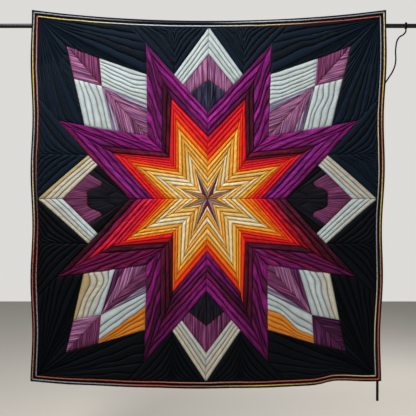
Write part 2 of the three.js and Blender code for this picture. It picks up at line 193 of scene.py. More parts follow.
def tube_mesh(path, radius, sides, closed=False, upright=(0.0, 1.0, 0.02)):
    """Points, faces and map of a round tube along a path that never runs along upright."""
    path = np.asarray(path)
    ahead = np.roll(path, -1, axis=0) - np.roll(path, 1, axis=0)
    if not closed:
        ahead[0], ahead[-1] = path[1] - path[0], path[-1] - path[-2]
    ahead /= np.linalg.norm(ahead, axis=1)[:, None]
    side = np.cross(ahead, upright)
    side /= np.linalg.norm(side, axis=1)[:, None]
    third = np.cross(ahead, side)
    turn = np.linspace(0, 2 * math.pi, sides, endpoint=False)
    ring = side[:, None] * np.cos(turn)[None, :, None] + third[:, None] * np.sin(turn)[None, :, None]
    points = (path[:, None] + radius * ring).reshape(-1, 3)
    count = len(path)
    steps = np.arange(count if closed else count - 1)[:, None]
    k = np.arange(sides)[None, :]
    here, there = steps * sides, ((steps + 1) % count) * sides
    quads = np.stack([here + k, here + (k + 1) % sides, there + (k + 1) % sides, there + k], axis=-1)
    faces = quads.reshape(-1, 4).tolist()
    travelled = np.concatenate([[0], np.cumsum(np.linalg.norm(np.diff(path, axis=0), axis=1))])
    uvs = np.stack(np.broadcast_arrays(travelled[:, None], turn[None, :] * radius), axis=-1)
    if not closed:
        faces.append(list(range(sides))[::-1])
        faces.append(list(range(len(points) - sides, len(points))))
    return points, faces, uvs.reshape(-1, 2)


def joined(meshes):
    """Several meshes of points, faces and map as one."""
    points, faces, uvs = zip(*meshes)
    starts = np.cumsum([0, *map(len, points)])
    moved = [[n + start for n in face] for start, part in zip(starts, faces) for face in part]
    return np.concatenate(points), moved, np.concatenate(uvs)


def smooth_route(knots, spacing, steps=40):
    """A smooth curve through given points, in even steps."""
    knots = np.asarray(knots, dtype=float)
    ends = np.concatenate([[2 * knots[0] - knots[1]], knots, [2 * knots[-1] - knots[-2]]])
    pieces = []
    for n in range(1, len(ends) - 2):
        p0, p1, p2, p3 = ends[n - 1:n + 3]
        t = np.linspace(0, 1, steps, endpoint=False)[:, None]
        curve = 2 * p1 + (p2 - p0) * t + (2 * p0 - 5 * p1 + 4 * p2 - p3) * t ** 2
        pieces.append(0.5 * (curve + (3 * p1 - p0 - 3 * p2 + p3) * t ** 3))
    fine = np.concatenate(pieces + [knots[-1:]])
    travelled = np.concatenate([[0], np.cumsum(np.linalg.norm(np.diff(fine, axis=0), axis=1))])
    at = np.linspace(0, travelled[-1], int(travelled[-1] / spacing) + 1)
    return np.stack([np.interp(at, travelled, fine[:, k]) for k in range(3)], axis=1), travelled[-1]


PULL_RADIUS = 3.2 * MM
PULL_SIDES = 16
PULL_STEP = 4 * MM
PULL_ROUTE_MM = [
    (854, -16.5), (852, -27), (841, -39), (825, -49), (814, -70), (809, -108), (810, -143),
    (806, -173), (793, -203), (774, -232), (755, -264), (741, -306), (734, -366), (731, -440),
    (730, -560), (730, -740), (730, -930), (730, -1120), (730, -1310), (730, -1502),
]
pull_route, pull_length = smooth_route([(x * MM, 0, z * MM) for x, z in PULL_ROUTE_MM], PULL_STEP)

braid = Finish("black_braid", Roughness=0.8, Specular_IOR_Level=0.1)
braid_way = braid.coordinates("UV")
BLACK, BRAID_BLACK, ENAMEL_BLACK = hue("#050506"), hue("#141418"), hue("#121214")
BRAID_SCALE = 150
braid_over = braid.bands(braid_way, BRAID_SCALE, "DIAGONAL")
braid_back = braid.bands(braid.stretched("UV", (1, -1, 1)), BRAID_SCALE, "DIAGONAL")
braid_fuzz = braid.noise(braid.coordinates(), 900)
braid_plait = braid_over * braid_back
braid.feed("Base Color", braid.mixed(braid_plait, BLACK, BRAID_BLACK))
braid.raised(braid_plait + 0.3 * braid_fuzz, 0.6 * MM)

pull_points, pull_faces, pull_uvs = tube_mesh(pull_route, PULL_RADIUS, PULL_SIDES)
pull_cord = mesh_piece("pull_cord_braid", pull_points, pull_faces, braid.material, pull_uvs)

ROD_RADIUS = 9.5 * MM
LOOP_GAP = 0.3 * MM
LOOP_STEPS = 64
loop_turn = np.linspace(0, 2 * math.pi, LOOP_STEPS, endpoint=False)
loop_reach = ROD_RADIUS + LOOP_GAP + PULL_RADIUS
loop_x = np.full(LOOP_STEPS, PULL_ROUTE_MM[0][0] * MM)
loop_path = np.stack([loop_x, loop_reach * np.sin(loop_turn), -loop_reach * np.cos(loop_turn)], axis=1)
loop_points, loop_faces, loop_uvs = tube_mesh(
    loop_path, PULL_RADIUS, PULL_SIDES, closed=True, upright=(1.0, 0.0, 0.0))
cord_ring = mesh_piece("cord_ring", loop_points, loop_faces, braid.material, loop_uvs)


def turned_mesh(profile, sides):
    """Points and faces of a profile of (radius, height) turned about the upright axis, ends closed."""
    turn = np.linspace(0, 2 * math.pi, sides, endpoint=False)
    points = [(r * math.cos(a), r * math.sin(a), h) for r, h in profile for a in turn]
    faces = []
    for row in range(len(profile) - 1):
        for k in range(sides):
            a, b = row * sides + k, row * sides + (k + 1) % sides
            faces.append((a, b, b + sides, a + sides))
    faces.append(tuple(range(sides))[::-1])
    faces.append(tuple(range(len(points) - sides, len(points))))
    return np.array(points), faces


def eased_profile(radius, length, ease, steps, middle):
    """Outline of a round bar from foot to head, with rounded ends and the given points between."""
    turn = np.linspace(0, math.pi / 2, steps)
    foot = [(radius - ease + ease * math.sin(a), ease - ease * math.cos(a)) for a in turn]
    head = [(radius - ease + ease * math.cos(a), length - ease + ease * math.sin(a)) for a in turn]
    return foot + middle + head


WEIGHT_RADIUS = 5.8 * MM
WEIGHT_LENGTH = 120 * MM
WEIGHT_TOP = (PULL_ROUTE_MM[-1][1] - 0.3) * MM
WEIGHT_EASE = 2.2 * MM
GROOVE_MM = [(17, 0.25), (16, 0.8), (15, 0.25)]
groove = [(WEIGHT_RADIUS - depth * MM, WEIGHT_LENGTH - down * MM) for down, depth in GROOVE_MM]
weight_profile = eased_profile(WEIGHT_RADIUS, WEIGHT_LENGTH, WEIGHT_EASE, 6, groove)
weight_points, weight_faces = turned_mesh(weight_profile, sides=32)
weight_points += np.array([PULL_ROUTE_MM[-1][0] * MM, 0, WEIGHT_TOP - WEIGHT_LENGTH])
enamel = Finish("black_enamel", Specular_IOR_Level=0.2)
enamel_wear = enamel.noise(enamel.coordinates(), 260, 3)
enamel.feed("Base Color", enamel.mixed(enamel_wear, BLACK, ENAMEL_BLACK))
enamel.feed("Roughness", 0.3 + 0.3 * enamel_wear)
enamel.raised(enamel_wear, 0.15 * MM, 0.4)
cord_bar = mesh_piece("cord_bar", weight_points, weight_faces, enamel.material)

for piece, node, slot in ((pull_cord, "pull_cord", "black_cord"), (cord_ring, "cord_loop", "black_cord"),
                          (cord_bar, "cord_weight", "cord_weight")):
    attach(piece, "root")
    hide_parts(node)


# The rod: a plain 19 mm steel tube, black with a worn satin finish, its ends closed and eased.
# It runs behind the quilt's upper edge and past it on both sides.
ROD_LENGTH = 1.93
ROD_EASE = 1.2 * MM
rod_middle = [(ROD_RADIUS, ROD_LENGTH * share) for share in np.linspace(0.01, 0.99, 25)]
rod_profile = eased_profile(ROD_RADIUS, ROD_LENGTH, ROD_EASE, 5, rod_middle)
rod_points, rod_faces = turned_mesh(rod_profile, sides=48)
rod_points = np.stack([rod_points[:, 2] - ROD_LENGTH / 2, rod_points[:, 1], -rod_points[:, 0]], axis=1)
rod_faces = [face[::-1] for face in rod_faces]
STEEL_DARK, STEEL_WORN = hue("#131316"), hue("#36373c")
steel = Finish("blackened_steel", Metallic=0.75)
steel_marks = steel.noise(steel.stretched("Object", (6, 160, 160)), 1.0, 4, 0.6)
steel_specks = steel.noise(steel.coordinates(), 320, 2)
steel.feed("Base Color", steel.mixed(steel_marks, STEEL_DARK, STEEL_WORN))
steel.feed("Roughness", 0.28 + 0.3 * steel_marks)
steel.raised(steel_marks + 0.5 * steel_specks, 0.12 * MM, 0.5)
rod_tube = mesh_piece("rod_tube", rod_points, rod_faces, steel.material)
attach(rod_tube, "root")
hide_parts("rod")


# The star: eight arms of nested mitred strips, satiny purples outside, then red, orange, gold and
# cream, and small two-tone petals at the centre. Each half arm is sewn from long narrow strips.

# How the whole quilt hangs: it sags between its upper corners, is folded softly toward its hem, and
# its hem has a kink at the right
HALF_WIDTH = 0.762
HALF_HEIGHT = 0.8
STAR_CENTRE_Z = -0.749
SEAM_OUT = 3 * MM
FOLDS_MM = [(-610, 105, 11), (-330, 120, 7), (-50, 130, 12), (250, 115, 8), (545, 85, 11)]
FOLDS_START = 0.64
UPPER_LIFT, UPPER_SAG = 12 * MM, 44 * MM
LOWER_LIFT, LOWER_SAG = 15 * MM, 30 * MM
KINK_AT, KINK_HEIGHT = 0.56, 17 * MM
KINK_INNER, KINK_OUTER = 62 * MM, 110 * MM
KINK_START, KINK_FULL = 0.6, 0.795
EDGE_WAVER, EDGE_WAVES, EDGE_CURL = 4 * MM, 3.4, 2 * MM
OVER_ROD_FROM, CORNER_OUT = 0.56, 10 * MM
WIDTH_SHARE, WIDTH_GAIN = 0.995, 0.0085
SHIFT, LEAN = 5 * MM, 7 * MM
ROD_GAP = 0.3 * MM


def smoothstep(low, high, x):
    t = np.clip((x - low) / (high - low), 0, 1)
    return t * t * (3 - 2 * t)


def hang(u, v, out):
    """Places of flat points: u across and v up from the star's centre, out forward of the back."""
    u, v, out = np.broadcast_arrays(np.asarray(u, float), np.asarray(v, float), np.asarray(out, float))
    across, up = u / HALF_WIDTH, v / HALF_HEIGHT
    bow = 1 - across ** 2
    rise = np.where(up > 0, UPPER_LIFT - UPPER_SAG * bow, LOWER_LIFT - LOWER_SAG * bow)
    kink_width = np.where(u < KINK_AT, KINK_INNER, KINK_OUTER)
    kink = np.exp(-((u - KINK_AT) / kink_width) ** 2)
    kink = KINK_HEIGHT * kink * smoothstep(KINK_START, KINK_FULL, -v)
    waver = EDGE_WAVER * across ** 5 * np.sin(up * EDGE_WAVES * math.pi)
    low = np.maximum(0, (FOLDS_START - v) / (FOLDS_START + HALF_HEIGHT))
    forward = EDGE_CURL * across ** 6
    for at, half_width, depth in FOLDS_MM:
        forward = forward + depth * MM * low * np.exp(-((u - at * MM) / (half_width * MM)) ** 2)
    over_rod = np.maximum(0, (v - OVER_ROD_FROM) / (HALF_HEIGHT - OVER_ROD_FROM))
    forward = forward + CORNER_OUT * over_rod ** 2 * across ** 4
    x = u * (WIDTH_SHARE + WIDTH_GAIN * up) - SHIFT + LEAN * up + waver
    y = -(ROD_RADIUS + ROD_GAP) - forward - out
    z = STAR_CENTRE_Z + v + np.abs(up) * rise + kink
    return np.stack([x, y, z], axis=-1)


quilting_lines = []


def smooth_noise(rng, at, wavelength):
    """Even random swings from -1 to 1 along a length, with rounded peaks."""
    at = np.asarray(at) / (0.5 * wavelength)
    knots = rng.uniform(-1, 1, int(at.max()) + 3)
    whole = np.floor(at).astype(int)
    part = at - whole
    part = part * part * (3 - 2 * part)
    return knots[whole] * (1 - part) + knots[whole + 1] * part


class Patchwork:
    """Strips of one kind of cloth, puffed up between their seams and gathered into one mesh."""

    ROUNDNESS = 0.52
    STEEPEST = 0.26
    END_REACH = 7 * MM
    GATHER_LENGTHS_MM, GATHER_REACH, GATHER_RISE = (13, 21), 9 * MM, 1.0 * MM
    CREASE_LENGTHS_MM, CREASE_RISE = (24, 40), 0.5 * MM
    LUMP_LENGTH, LUMP_SHARE = 90 * MM, 0.14
    SEAM_DEPTH, SEAM_SHARPNESS = 1.4 * MM, 0.35
    SEAM_SHADE_WARMTH = np.array((1.5, 0.9, 0.75))
    FEWEST_STEPS, MAP_SHIFT = 8, 5
    SWAY_LENGTH, OWN_SWAY_LENGTH, OWN_SWAY = 0.15, 0.11, 0.4
    SLANT_ROWS, SLANT_UNEVEN, SLANT_WAVE, SLANT_SHIFT = 24, 0.3, 0.3, 0.5

    def __init__(self, name, seed, puff, pucker, seam_shade, seam_reach=0.45, variety=0.1,
                 across=8, spacing=5 * MM):
        self.name = name
        self.rng = np.random.default_rng(seed)
        self.across, self.spacing, self.puff, self.pucker = across, spacing, puff, pucker
        self.seam_shade, self.seam_reach, self.variety = seam_shade, seam_reach, variety
        self.points, self.faces, self.uvs, self.tints = [], [], [], []
        self.count = 0

    def strip(self, left, right, tint, grain=None, fade=(1, 1)):
        """One strip between two seams of as many flat points. Its grain runs along it or as it is
        given, and its colour is made lighter or darker from its start to its end."""
        middle = 0.5 * (left + right)
        along = np.concatenate([[0], np.cumsum(np.linalg.norm(np.diff(middle, axis=0), axis=1))])
        width = np.linalg.norm(right - left, axis=1)[:, None]
        share = 0.5 * (1 - np.cos(np.linspace(0, math.pi, self.across + 1)))[None, :]
        flat = left[:, None] * (1 - share[..., None]) + right[:, None] * share[..., None]
        crown = (1 - (2 * share - 1) ** 2) ** self.ROUNDNESS
        to_end = np.minimum(along, along[-1] - along)[:, None]
        ends = 1 - np.exp(-to_end / self.END_REACH)
        height = np.minimum(self.puff, self.STEEPEST * width) * crown * ends
        gathers = 0
        for inward in (share, 1 - share):
            length = self.rng.uniform(*self.GATHER_LENGTHS_MM) * MM
            swing = smooth_noise(self.rng, along, length)[:, None]
            gathers = gathers + self.GATHER_RISE * swing * np.exp(-inward * width / self.GATHER_REACH)
        length = self.rng.uniform(*self.CREASE_LENGTHS_MM) * MM
        creases = self.CREASE_RISE * smooth_noise(self.rng, along, length)[:, None]
        lumps = smooth_noise(self.rng, along, self.LUMP_LENGTH)[:, None]
        height = height * (1 + self.LUMP_SHARE * lumps)
        height = height + self.pucker * crown ** 0.5 * ends * (gathers + creases)
        seam_line = 1 - crown ** self.SEAM_SHARPNESS * (ends > 0)
        out = SEAM_OUT + np.maximum(height, 0) - self.SEAM_DEPTH * seam_line
        rows, columns = flat.shape[:2]
        step, k = np.arange(rows - 1)[:, None], np.arange(columns - 1)[None, :]
        first = self.count + step * columns + k
        quads = np.stack([first, first + 1, first + columns + 1, first + columns], axis=-1)
        quads = quads.reshape(-1, 4)
        way = right[rows // 2] - left[rows // 2]
        ahead = middle[min(rows - 1, rows // 2 + 1)] - middle[rows // 2 - 1]
        if way[0] * ahead[1] - way[1] * ahead[0] < 0:
            quads = quads[:, ::-1]
        self.points.append(hang(flat[..., 0], flat[..., 1], out).reshape(-1, 3))
        self.faces.append(quads)
        offset = self.rng.uniform(0, self.MAP_SHIFT, 2)
        sideways = (share - 0.5) * width
        with_grain, across_grain = grain(flat) if grain else np.broadcast_arrays(along[:, None], sideways)
        places = np.stack([with_grain + offset[0], across_grain + offset[1]], axis=-1)
        self.uvs.append(places.reshape(-1, 2))
        # Painted shade: the strip's colour darkens toward each seam, brownish in the deepest part,
        # standing in for the shade down in the quilted valleys.
        seam = self.seam_shade * self.SEAM_SHADE_WARMTH
        shade = seam + (1 - seam) * crown[..., None] ** self.seam_reach
        shade = self.rng.uniform(1 - self.variety, 1 + self.variety) * shade
        shade = shade * np.linspace(*fade, rows)[:, None, None]
        shaded = np.broadcast_to(shade * np.array(tint), (rows, columns, 3))
        self.tints.append(shaded.reshape(-1, 3))
        self.count += rows * columns

    def lines(self, a0, a1, b0, b1, shares, sway=0.0, bow=0.0, fan=0.0):
        """Seams from rail a to rail b of a patch, at shares of the way across, that sway a little."""
        a0, a1, b0, b1 = (np.asarray(p, float) for p in (a0, a1, b0, b1))
        length = max(np.linalg.norm(a1 - a0), np.linalg.norm(b1 - b0))
        t = np.linspace(0, 1, max(self.FEWEST_STEPS, int(length / self.spacing)) + 1)
        rail_a = a0 + (a1 - a0) * t[:, None]
        rail_b = b0 + (b1 - b0) * t[:, None]
        seams = []
        shared = smooth_noise(self.rng, t * length, self.SWAY_LENGTH)
        for share in shares:
            inside = 4 * share * (1 - share)
            own = smooth_noise(self.rng, t * length, self.OWN_SWAY_LENGTH)
            drift = sway * (shared + self.OWN_SWAY * own) + bow * np.sin(math.pi * t)
            at = (share ** (1 + fan * (1 - t)) + inside * drift)[:, None]
            seams.append(rail_a * (1 - at) + rail_b * at)
        return seams

    def sew(self, seams, tints, mirror, thread=None, grain=None, fade=(1, 1)):
        """Strips between one seam and the next, mirrored into a quarter of the quilt."""
        seams = [seam * np.asarray(mirror) for seam in seams]
        for n, tint in enumerate(tints):
            self.strip(seams[n], seams[n + 1], tint, grain, fade)
        quilting_lines.extend((seam, thread) for seam in seams)

    def patch(self, corners, shares, tints, mirror, sway=0.0, bow=0.0, fan=0.0, thread=None,
              grain=None, fade=(1, 1)):
        """All strips of a patch with the corners a0, a1, b0 and b1, and a tint for each strip."""
        self.sew(self.lines(*corners, shares, sway, bow, fan), tints, mirror, thread, grain, fade)

    def slanted(self, corners, count, slant, tints, mirror, fade):
        """Wavy strips that run across a band at a slant, from its first rail to its second."""
        a0, a1, b0, b1 = (np.asarray(p, float) for p in corners)
        t = np.linspace(0, 1, self.SLANT_ROWS)[:, None]
        seams = []
        for n in range(count + 1):
            uneven = self.SLANT_UNEVEN * self.rng.uniform(-1, 1) * (0 < n < count)
            start = (n + uneven) / count * (1 + slant)
            first, last = a0 + (a1 - a0) * min(1, start), b0 + (b1 - b0) * max(0, start - slant)
            phase = self.SLANT_SHIFT * self.rng.uniform(-1, 1)
            wave = self.SLANT_WAVE * np.sin(2 * math.pi * t + phase) * (a1 - a0) / count
            hold = np.sin(math.pi * t) * (0 < n < count)
            seams.append(first + (last - first) * t + wave * hold)
        faded = np.linspace(*fade, count)[:, None] * [tints[n % len(tints)] for n in range(count)]
        self.sew(seams, faded, mirror)

    def make(self, material):
        """The gathered strips as one piece, sewn on to the quilt."""
        points, faces = np.concatenate(self.points), np.concatenate(self.faces)
        uvs, tints = np.concatenate(self.uvs), np.concatenate(self.tints)
        piece = mesh_piece(self.name, points, faces, material, uvs, tints)
        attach(piece, "root")


def even(count):
    return np.linspace(0, 1, count + 1)


def between(a, b, share):
    return np.asarray(a, float) + (np.asarray(b, float) - np.asarray(a, float)) * share


QUARTERS = [(1, 1), (-1, 1), (-1, -1), (1, -1)]


def woven(finish, coarse=1.0):
    """Plain weave, soft mottling, lint and creases on a cloth whose colour is its own attribute."""
    thread_scale, mottle_scale, lint_scale, crease_scale = 420 * coarse, 28, 420, (120, 24, 1)
    way = finish.coordinates("UV")
    warp = finish.bands(way, thread_scale, "X", 1.5)
    weft = finish.bands(way, thread_scale, "Y", 1.5)
    mottle = finish.noise(finish.coordinates(), mottle_scale, 4, 0.6)
    lint = finish.noise(finish.coordinates(), lint_scale, 2, 0.6)
    crease = finish.noise(finish.stretched("UV", crease_scale), 1.0, 3, 0.55)
    cloth = finish.start.node("ShaderNodeAttribute", {}, "Color", attribute_name="cloth_colour")
    # Painted shade: the crease noise also lightens and darkens the cloth's colour, as the light falling
    # across its creases.
    light = 0.6 + 0.45 * mottle + 0.2 * lint + 0.15 * crease
    surface = 0.12 * (warp + weft) + 0.7 * mottle + 0.2 * lint + 1.1 * crease
    return surface, mottle, cloth, light


RING_POINTS = ("notch_up", "tip_up", "notch_mid", "tip_side", "notch_side")
RINGS_MM = {
    "outer": [(0, 390), (270, 693), (262, 280), (650, 337), (338, 0)],
    "red": [(0, 279), (158, 447), (166, 184), (411, 202), (232, 0)],
    "orange": [(0, 222), (148, 398), (148, 145), (356, 180), (195, 0)],
    "gold": [(0, 172), (129, 318), (126, 120), (313, 148), (163, 0)],
    "petal": [(0, 48), (55, 133), (37, 37), (110, 40), (58, 0)],
}
STAR = {ring: dict(zip(RING_POINTS, np.array(places) * MM)) for ring, places in RINGS_MM.items()}
STAR_MIDDLE = np.zeros(2)
HALF_ARMS = {
    "up_inner": ("notch_up", "tip_up"), "up_outer": ("notch_mid", "tip_up"),
    "side_outer": ("notch_mid", "tip_side"), "side_inner": ("notch_side", "tip_side"),
}
PURPLE, VIOLET, PLUM = hue("#6c125c"), hue("#7c1a72"), hue("#420b31")
MAROON, WINE, CRIMSON = hue("#3d0820"), hue("#4a0820"), hue("#d21a3a")
RASPBERRY, CERISE, GARNET = hue("#5e0e42"), hue("#860f40"), hue("#740c26")
GRAPE, AMETHYST, MULBERRY = hue("#5c104c"), hue("#93268e"), hue("#78104a")
RED, SCARLET, BLOOD = hue("#e01c24"), hue("#ea3418"), hue("#b30d1e")
ORANGE, TANGERINE = hue("#ee6a14"), hue("#f2851c")
AMBER, GOLD, STRAW, CREAM = hue("#e89f34"), hue("#efb54f"), hue("#e9c376"), hue("#e9d9ad")

# Strips of each half arm from its outer edge in, for the upper (1) and lower (-1) arms; a longer key
# is one arm alone. First the purple band: how its colour is scaled from the notch to the tip, and the
# share and colour of each strip. Then the colours of the red, orange and gold bands.
PURPLE_BANDS = {
    ("up_inner", 1): ((1.4, 0.8), [(0.24, PURPLE), (0.26, VIOLET), (0.26, PURPLE), (0.24, GRAPE)]),
    ("up_outer", 1): ((1.1, 0.7), [(0.32, GRAPE), (0.34, VIOLET), (0.18, MAROON), (0.16, WINE)]),
    ("side_outer", 1): ((1.5, 0.7), [(0.22, PURPLE), (0.28, PURPLE), (0.26, VIOLET), (0.24, WINE)]),
    ("side_inner", 1): (
        (1.05, 0.95), [(0.24, RASPBERRY), (0.28, VIOLET), (0.26, VIOLET), (0.22, PURPLE)]),
    ("side_inner", 1, 1): (
        (1.05, 0.95), [(0.24, PURPLE), (0.28, VIOLET), (0.26, AMETHYST), (0.22, PURPLE)]),
    ("up_inner", -1): ((1.5, 0.6), [(0.26, PURPLE), (0.26, PURPLE), (0.24, RASPBERRY), (0.24, PLUM)]),
    ("up_outer", -1): ((1.7, 0.65), [(0.32, PURPLE), (0.32, PLUM), (0.2, MAROON), (0.16, WINE)]),
    ("side_outer", -1): (
        (1.45, 0.65), [(0.22, RASPBERRY), (0.26, PURPLE), (0.28, MULBERRY), (0.24, MAROON)]),
    ("side_outer", -1, -1): (
        (1.1, 0.8), [(0.22, RASPBERRY), (0.26, MULBERRY), (0.28, MULBERRY), (0.24, WINE)]),
    ("side_inner", -1): (
        (0.95, 0.75), [(0.28, MAROON), (0.26, CERISE), (0.24, CRIMSON), (0.22, CRIMSON)]),
    ("side_inner", 1, -1): (
        (1.6, 0.5), [(0.26, MAROON), (0.27, WINE), (0.25, GARNET), (0.22, BLOOD)]),
}
RED_BAND_FADE = (1.5, 0.3)
WARM_BANDS = {
    ("up_inner", 1): ([RED, RED], [SCARLET, ORANGE], [AMBER, GOLD, AMBER, STRAW, GOLD]),
    ("up_outer", 1): ([RED], [SCARLET, ORANGE], [GOLD, AMBER, STRAW, CREAM, GOLD]),
    ("side_outer", 1): ([BLOOD, RED, RED], [SCARLET, ORANGE], [AMBER, STRAW, CREAM, CREAM, GOLD]),
    ("side_inner", 1): ([RED, RED], [SCARLET, ORANGE], [AMBER, GOLD, CREAM, GOLD, CREAM]),
    ("up_inner", -1): ([PURPLE, PURPLE], [SCARLET, ORANGE], [AMBER, STRAW, AMBER, CREAM, AMBER]),
    ("up_outer", -1): ([WINE], [ORANGE, TANGERINE], [GOLD, CREAM, STRAW, AMBER, STRAW]),
    ("side_outer", -1): ([BLOOD, RED], [SCARLET, ORANGE], [AMBER, CREAM, CREAM, STRAW, GOLD]),
    ("side_inner", -1): ([CRIMSON, RED], [SCARLET, ORANGE], [TANGERINE, AMBER, CREAM, GOLD, CREAM]),
    ("up_inner", 1, 1): ([BLOOD, RED], [RED, SCARLET], [TANGERINE, GOLD, AMBER, STRAW, GOLD]),
    ("side_outer", 1, 1): ([WINE, BLOOD, RED], [RED, SCARLET], [AMBER, STRAW, AMBER, CREAM, AMBER]),
    ("side_outer", -1, -1): ([BLOOD, RED], [ORANGE, GOLD], [AMBER, CREAM, CREAM, STRAW, GOLD]),
    ("up_outer", 1, -1): ([SCARLET], [TANGERINE, AMBER], [GOLD, CREAM, STRAW, AMBER, STRAW]),
    ("side_inner", 1, -1): ([RED, SCARLET], [ORANGE, ORANGE], [TANGERINE, AMBER, CREAM, GOLD, CREAM]),
}
MAUVE_GREY, ROSEWOOD, COPPER = hue("#96807f"), hue("#6e1c34"), hue("#a8743e")
PETAL_SHARES = [0, 0.42, 1]
PETALS = {
    ("up_inner", 1): MAUVE_GREY, ("up_outer", 1): ROSEWOOD,
    ("side_outer", 1): COPPER, ("side_inner", 1): MAUVE_GREY,
    ("up_inner", -1): ROSEWOOD, ("up_outer", -1): MAUVE_GREY,
    ("side_outer", -1): MAUVE_GREY, ("side_inner", -1): COPPER,
}

# Outer half arms with slanted strips: how many bands they take up, their number and their slant
SLANTED = {"up_outer": (2, 7, 0.22), "side_outer": (3, 6, 0.34)}
OUTER_SWAY, INNER_SWAY = 0.08, 0.04
satin_strips = Patchwork("star_purple_strips", seed=11, puff=6.5 * MM, pucker=2.1, seam_shade=0.12,
                         seam_reach=1.5, variety=0.28)
warm_strips = Patchwork("star_warm_strips", seed=12, puff=4.2 * MM, pucker=1.7, seam_shade=0.14,
                        seam_reach=1.2)


def ring_corners(arm, outer, inner):
    notch, tip = HALF_ARMS[arm]
    return STAR[outer][notch], STAR[outer][tip], STAR[inner][notch], STAR[inner][tip]


def for_arm(table, arm, mirror):
    """What a table holds for one arm alone, or else for all arms like it in its half."""
    return table.get((arm, *mirror), table[arm, mirror[1]])


for mirror in QUARTERS:
    for arm in HALF_ARMS:
        fade, bands = for_arm(PURPLE_BANDS, arm, mirror)
        shares = np.concatenate([[0], np.cumsum([share for share, _ in bands])])
        shares[-1] = 1
        tints = [tint for _, tint in bands]
        a0, a1, b0, b1 = ring_corners(arm, "outer", "red")
        if arm in SLANTED:
            taken, count, slant = SLANTED[arm]
            wide = shares[taken]
            m0, m1 = between(a0, b0, wide), between(a1, b1, wide)
            satin_strips.slanted((a0, a1, m0, m1), count, slant, tints[:taken], mirror, fade)
            shares = (shares[taken:] - wide) / (1 - wide)
            a0, a1, tints = m0, m1, tints[taken:]
        satin_strips.patch((a0, a1, b0, b1), shares, tints, mirror, fade=fade,
                           sway=OUTER_SWAY if "outer" in arm else INNER_SWAY)
        reds, oranges, golds = for_arm(WARM_BANDS, arm, mirror)
        red_cloth, fade = warm_strips, (1, 1)
        if mirror[1] < 0 and reds[0] in (PURPLE, WINE):
            red_cloth, fade = satin_strips, RED_BAND_FADE
        red_cloth.patch(ring_corners(arm, "red", "orange"), even(len(reds)), reds, mirror, fade=fade)
        warm_strips.patch(ring_corners(arm, "orange", "gold"), even(len(oranges)), oranges, mirror)
        warm_strips.patch(ring_corners(arm, "gold", "petal"), even(len(golds)), golds, mirror)
        notch, tip = (STAR["petal"][key] for key in HALF_ARMS[arm])
        petal_tints = [golds[-2], PETALS[arm, mirror[1]]]
        warm_strips.patch((notch, tip, STAR_MIDDLE, tip), PETAL_SHARES, petal_tints, mirror)

satin = Finish("satin_purple", Specular_IOR_Level=0.12)
surface, mottle, cloth, light = woven(satin)
satin_streak = satin.noise(satin.stretched("UV", (9, 260, 1)), 1.0, 3, 0.6)
satin_fold = satin.noise(satin.stretched("UV", (16, 45, 1)), 1.0, 3, 0.6)
satin_pull = satin.noise(satin.stretched("UV", (120, 28, 1)), 1.0, 2, 0.5)
# Painted highlight and shade: the fold and pucker noise lighten and darken the satin's colour, standing
# in for the sheen on its ridges and the shade in its folds.
DARKEST_FOLD_SHADE = 0.22
satin_light = light + 0.35 * satin_streak + 4.4 * satin_fold + 2.2 * satin_pull - 3.2
satin_light = satin_light.maths("MAXIMUM", satin_light, DARKEST_FOLD_SHADE)
satin.feed("Base Color", satin.tinted(cloth, satin_light))
satin.feed("Roughness", 0.26 + 0.2 * mottle + 0.1 * satin_streak)
satin.raised(surface + 0.2 * satin_streak + 1.5 * satin_fold + 1.2 * satin_pull, 2.4 * MM, 1.0)
satin_strips.make(satin.material)

cotton = Finish("dyed_cotton", Specular_IOR_Level=0.12)
surface, mottle, cloth, light = woven(cotton)
cotton_pull = cotton.noise(cotton.stretched("UV", (170, 26, 1)), 1.0, 2, 0.5)
# Painted shade: the pucker noise also darkens and lightens the cotton's colour, as the light across its
# gathers.
cotton.feed("Base Color", cotton.tinted(cloth, light + 1.4 * cotton_pull - 0.6))
cotton.feed("Roughness", 0.62 + 0.2 * mottle)
cotton.raised(surface + 1.4 * cotton_pull, 1.6 * MM, 0.9)
warm_strips.make(cotton.material)


# The corner kites: four patches each, two of slubbed mauve and two of white cotton with swaying
# quilting, the lower ones partly in cream and orange. They are pieced into the angles of the star.
KITE_TIP = np.array((610, 662)) * MM
KITE_UP_SHARE, KITE_SIDE_SHARE, KITE_TIP_SHARE, KITE_MIDDLE_SHARE = 0.667, 0.7, 0.41, 0.565
outer_ring = STAR["outer"]
mid_notch = outer_ring["notch_mid"]
kite_up = between(mid_notch, outer_ring["tip_up"], KITE_UP_SHARE)
kite_side = between(mid_notch, outer_ring["tip_side"], KITE_SIDE_SHARE)
outer_up, outer_side = (between(KITE_TIP, end, KITE_TIP_SHARE) for end in (kite_up, kite_side))
kite_middle = between(mid_notch, KITE_TIP, KITE_MIDDLE_SHARE)
WHITE, PEARL, SHELL = hue("#bacdd3"), hue("#bcc3bf"), hue("#c2c1b3")
BEIGE, HONEY = hue("#bcaa7f"), hue("#d87a14")
MAUVE, ORCHID, DUSK, LAVENDER = hue("#8e6085"), hue("#6f3a5f"), hue("#552850"), hue("#86819a")
FIG, AUBERGINE = hue("#4b2346"), hue("#3e1c3a")


def straight_grain(way):
    """Threads that run straight along a way of the flat quilt."""
    along = way / np.linalg.norm(way)
    return lambda flat: (flat @ along, flat @ np.array((-along[1], along[0])))


white_strips = Patchwork("white_patches", seed=21, puff=3.8 * MM, pucker=1.7, seam_shade=0.13,
                         seam_reach=0.8)
slub_strips = Patchwork("mauve_patches", seed=22, puff=2.4 * MM, pucker=0.6, seam_shade=0.5, across=6)
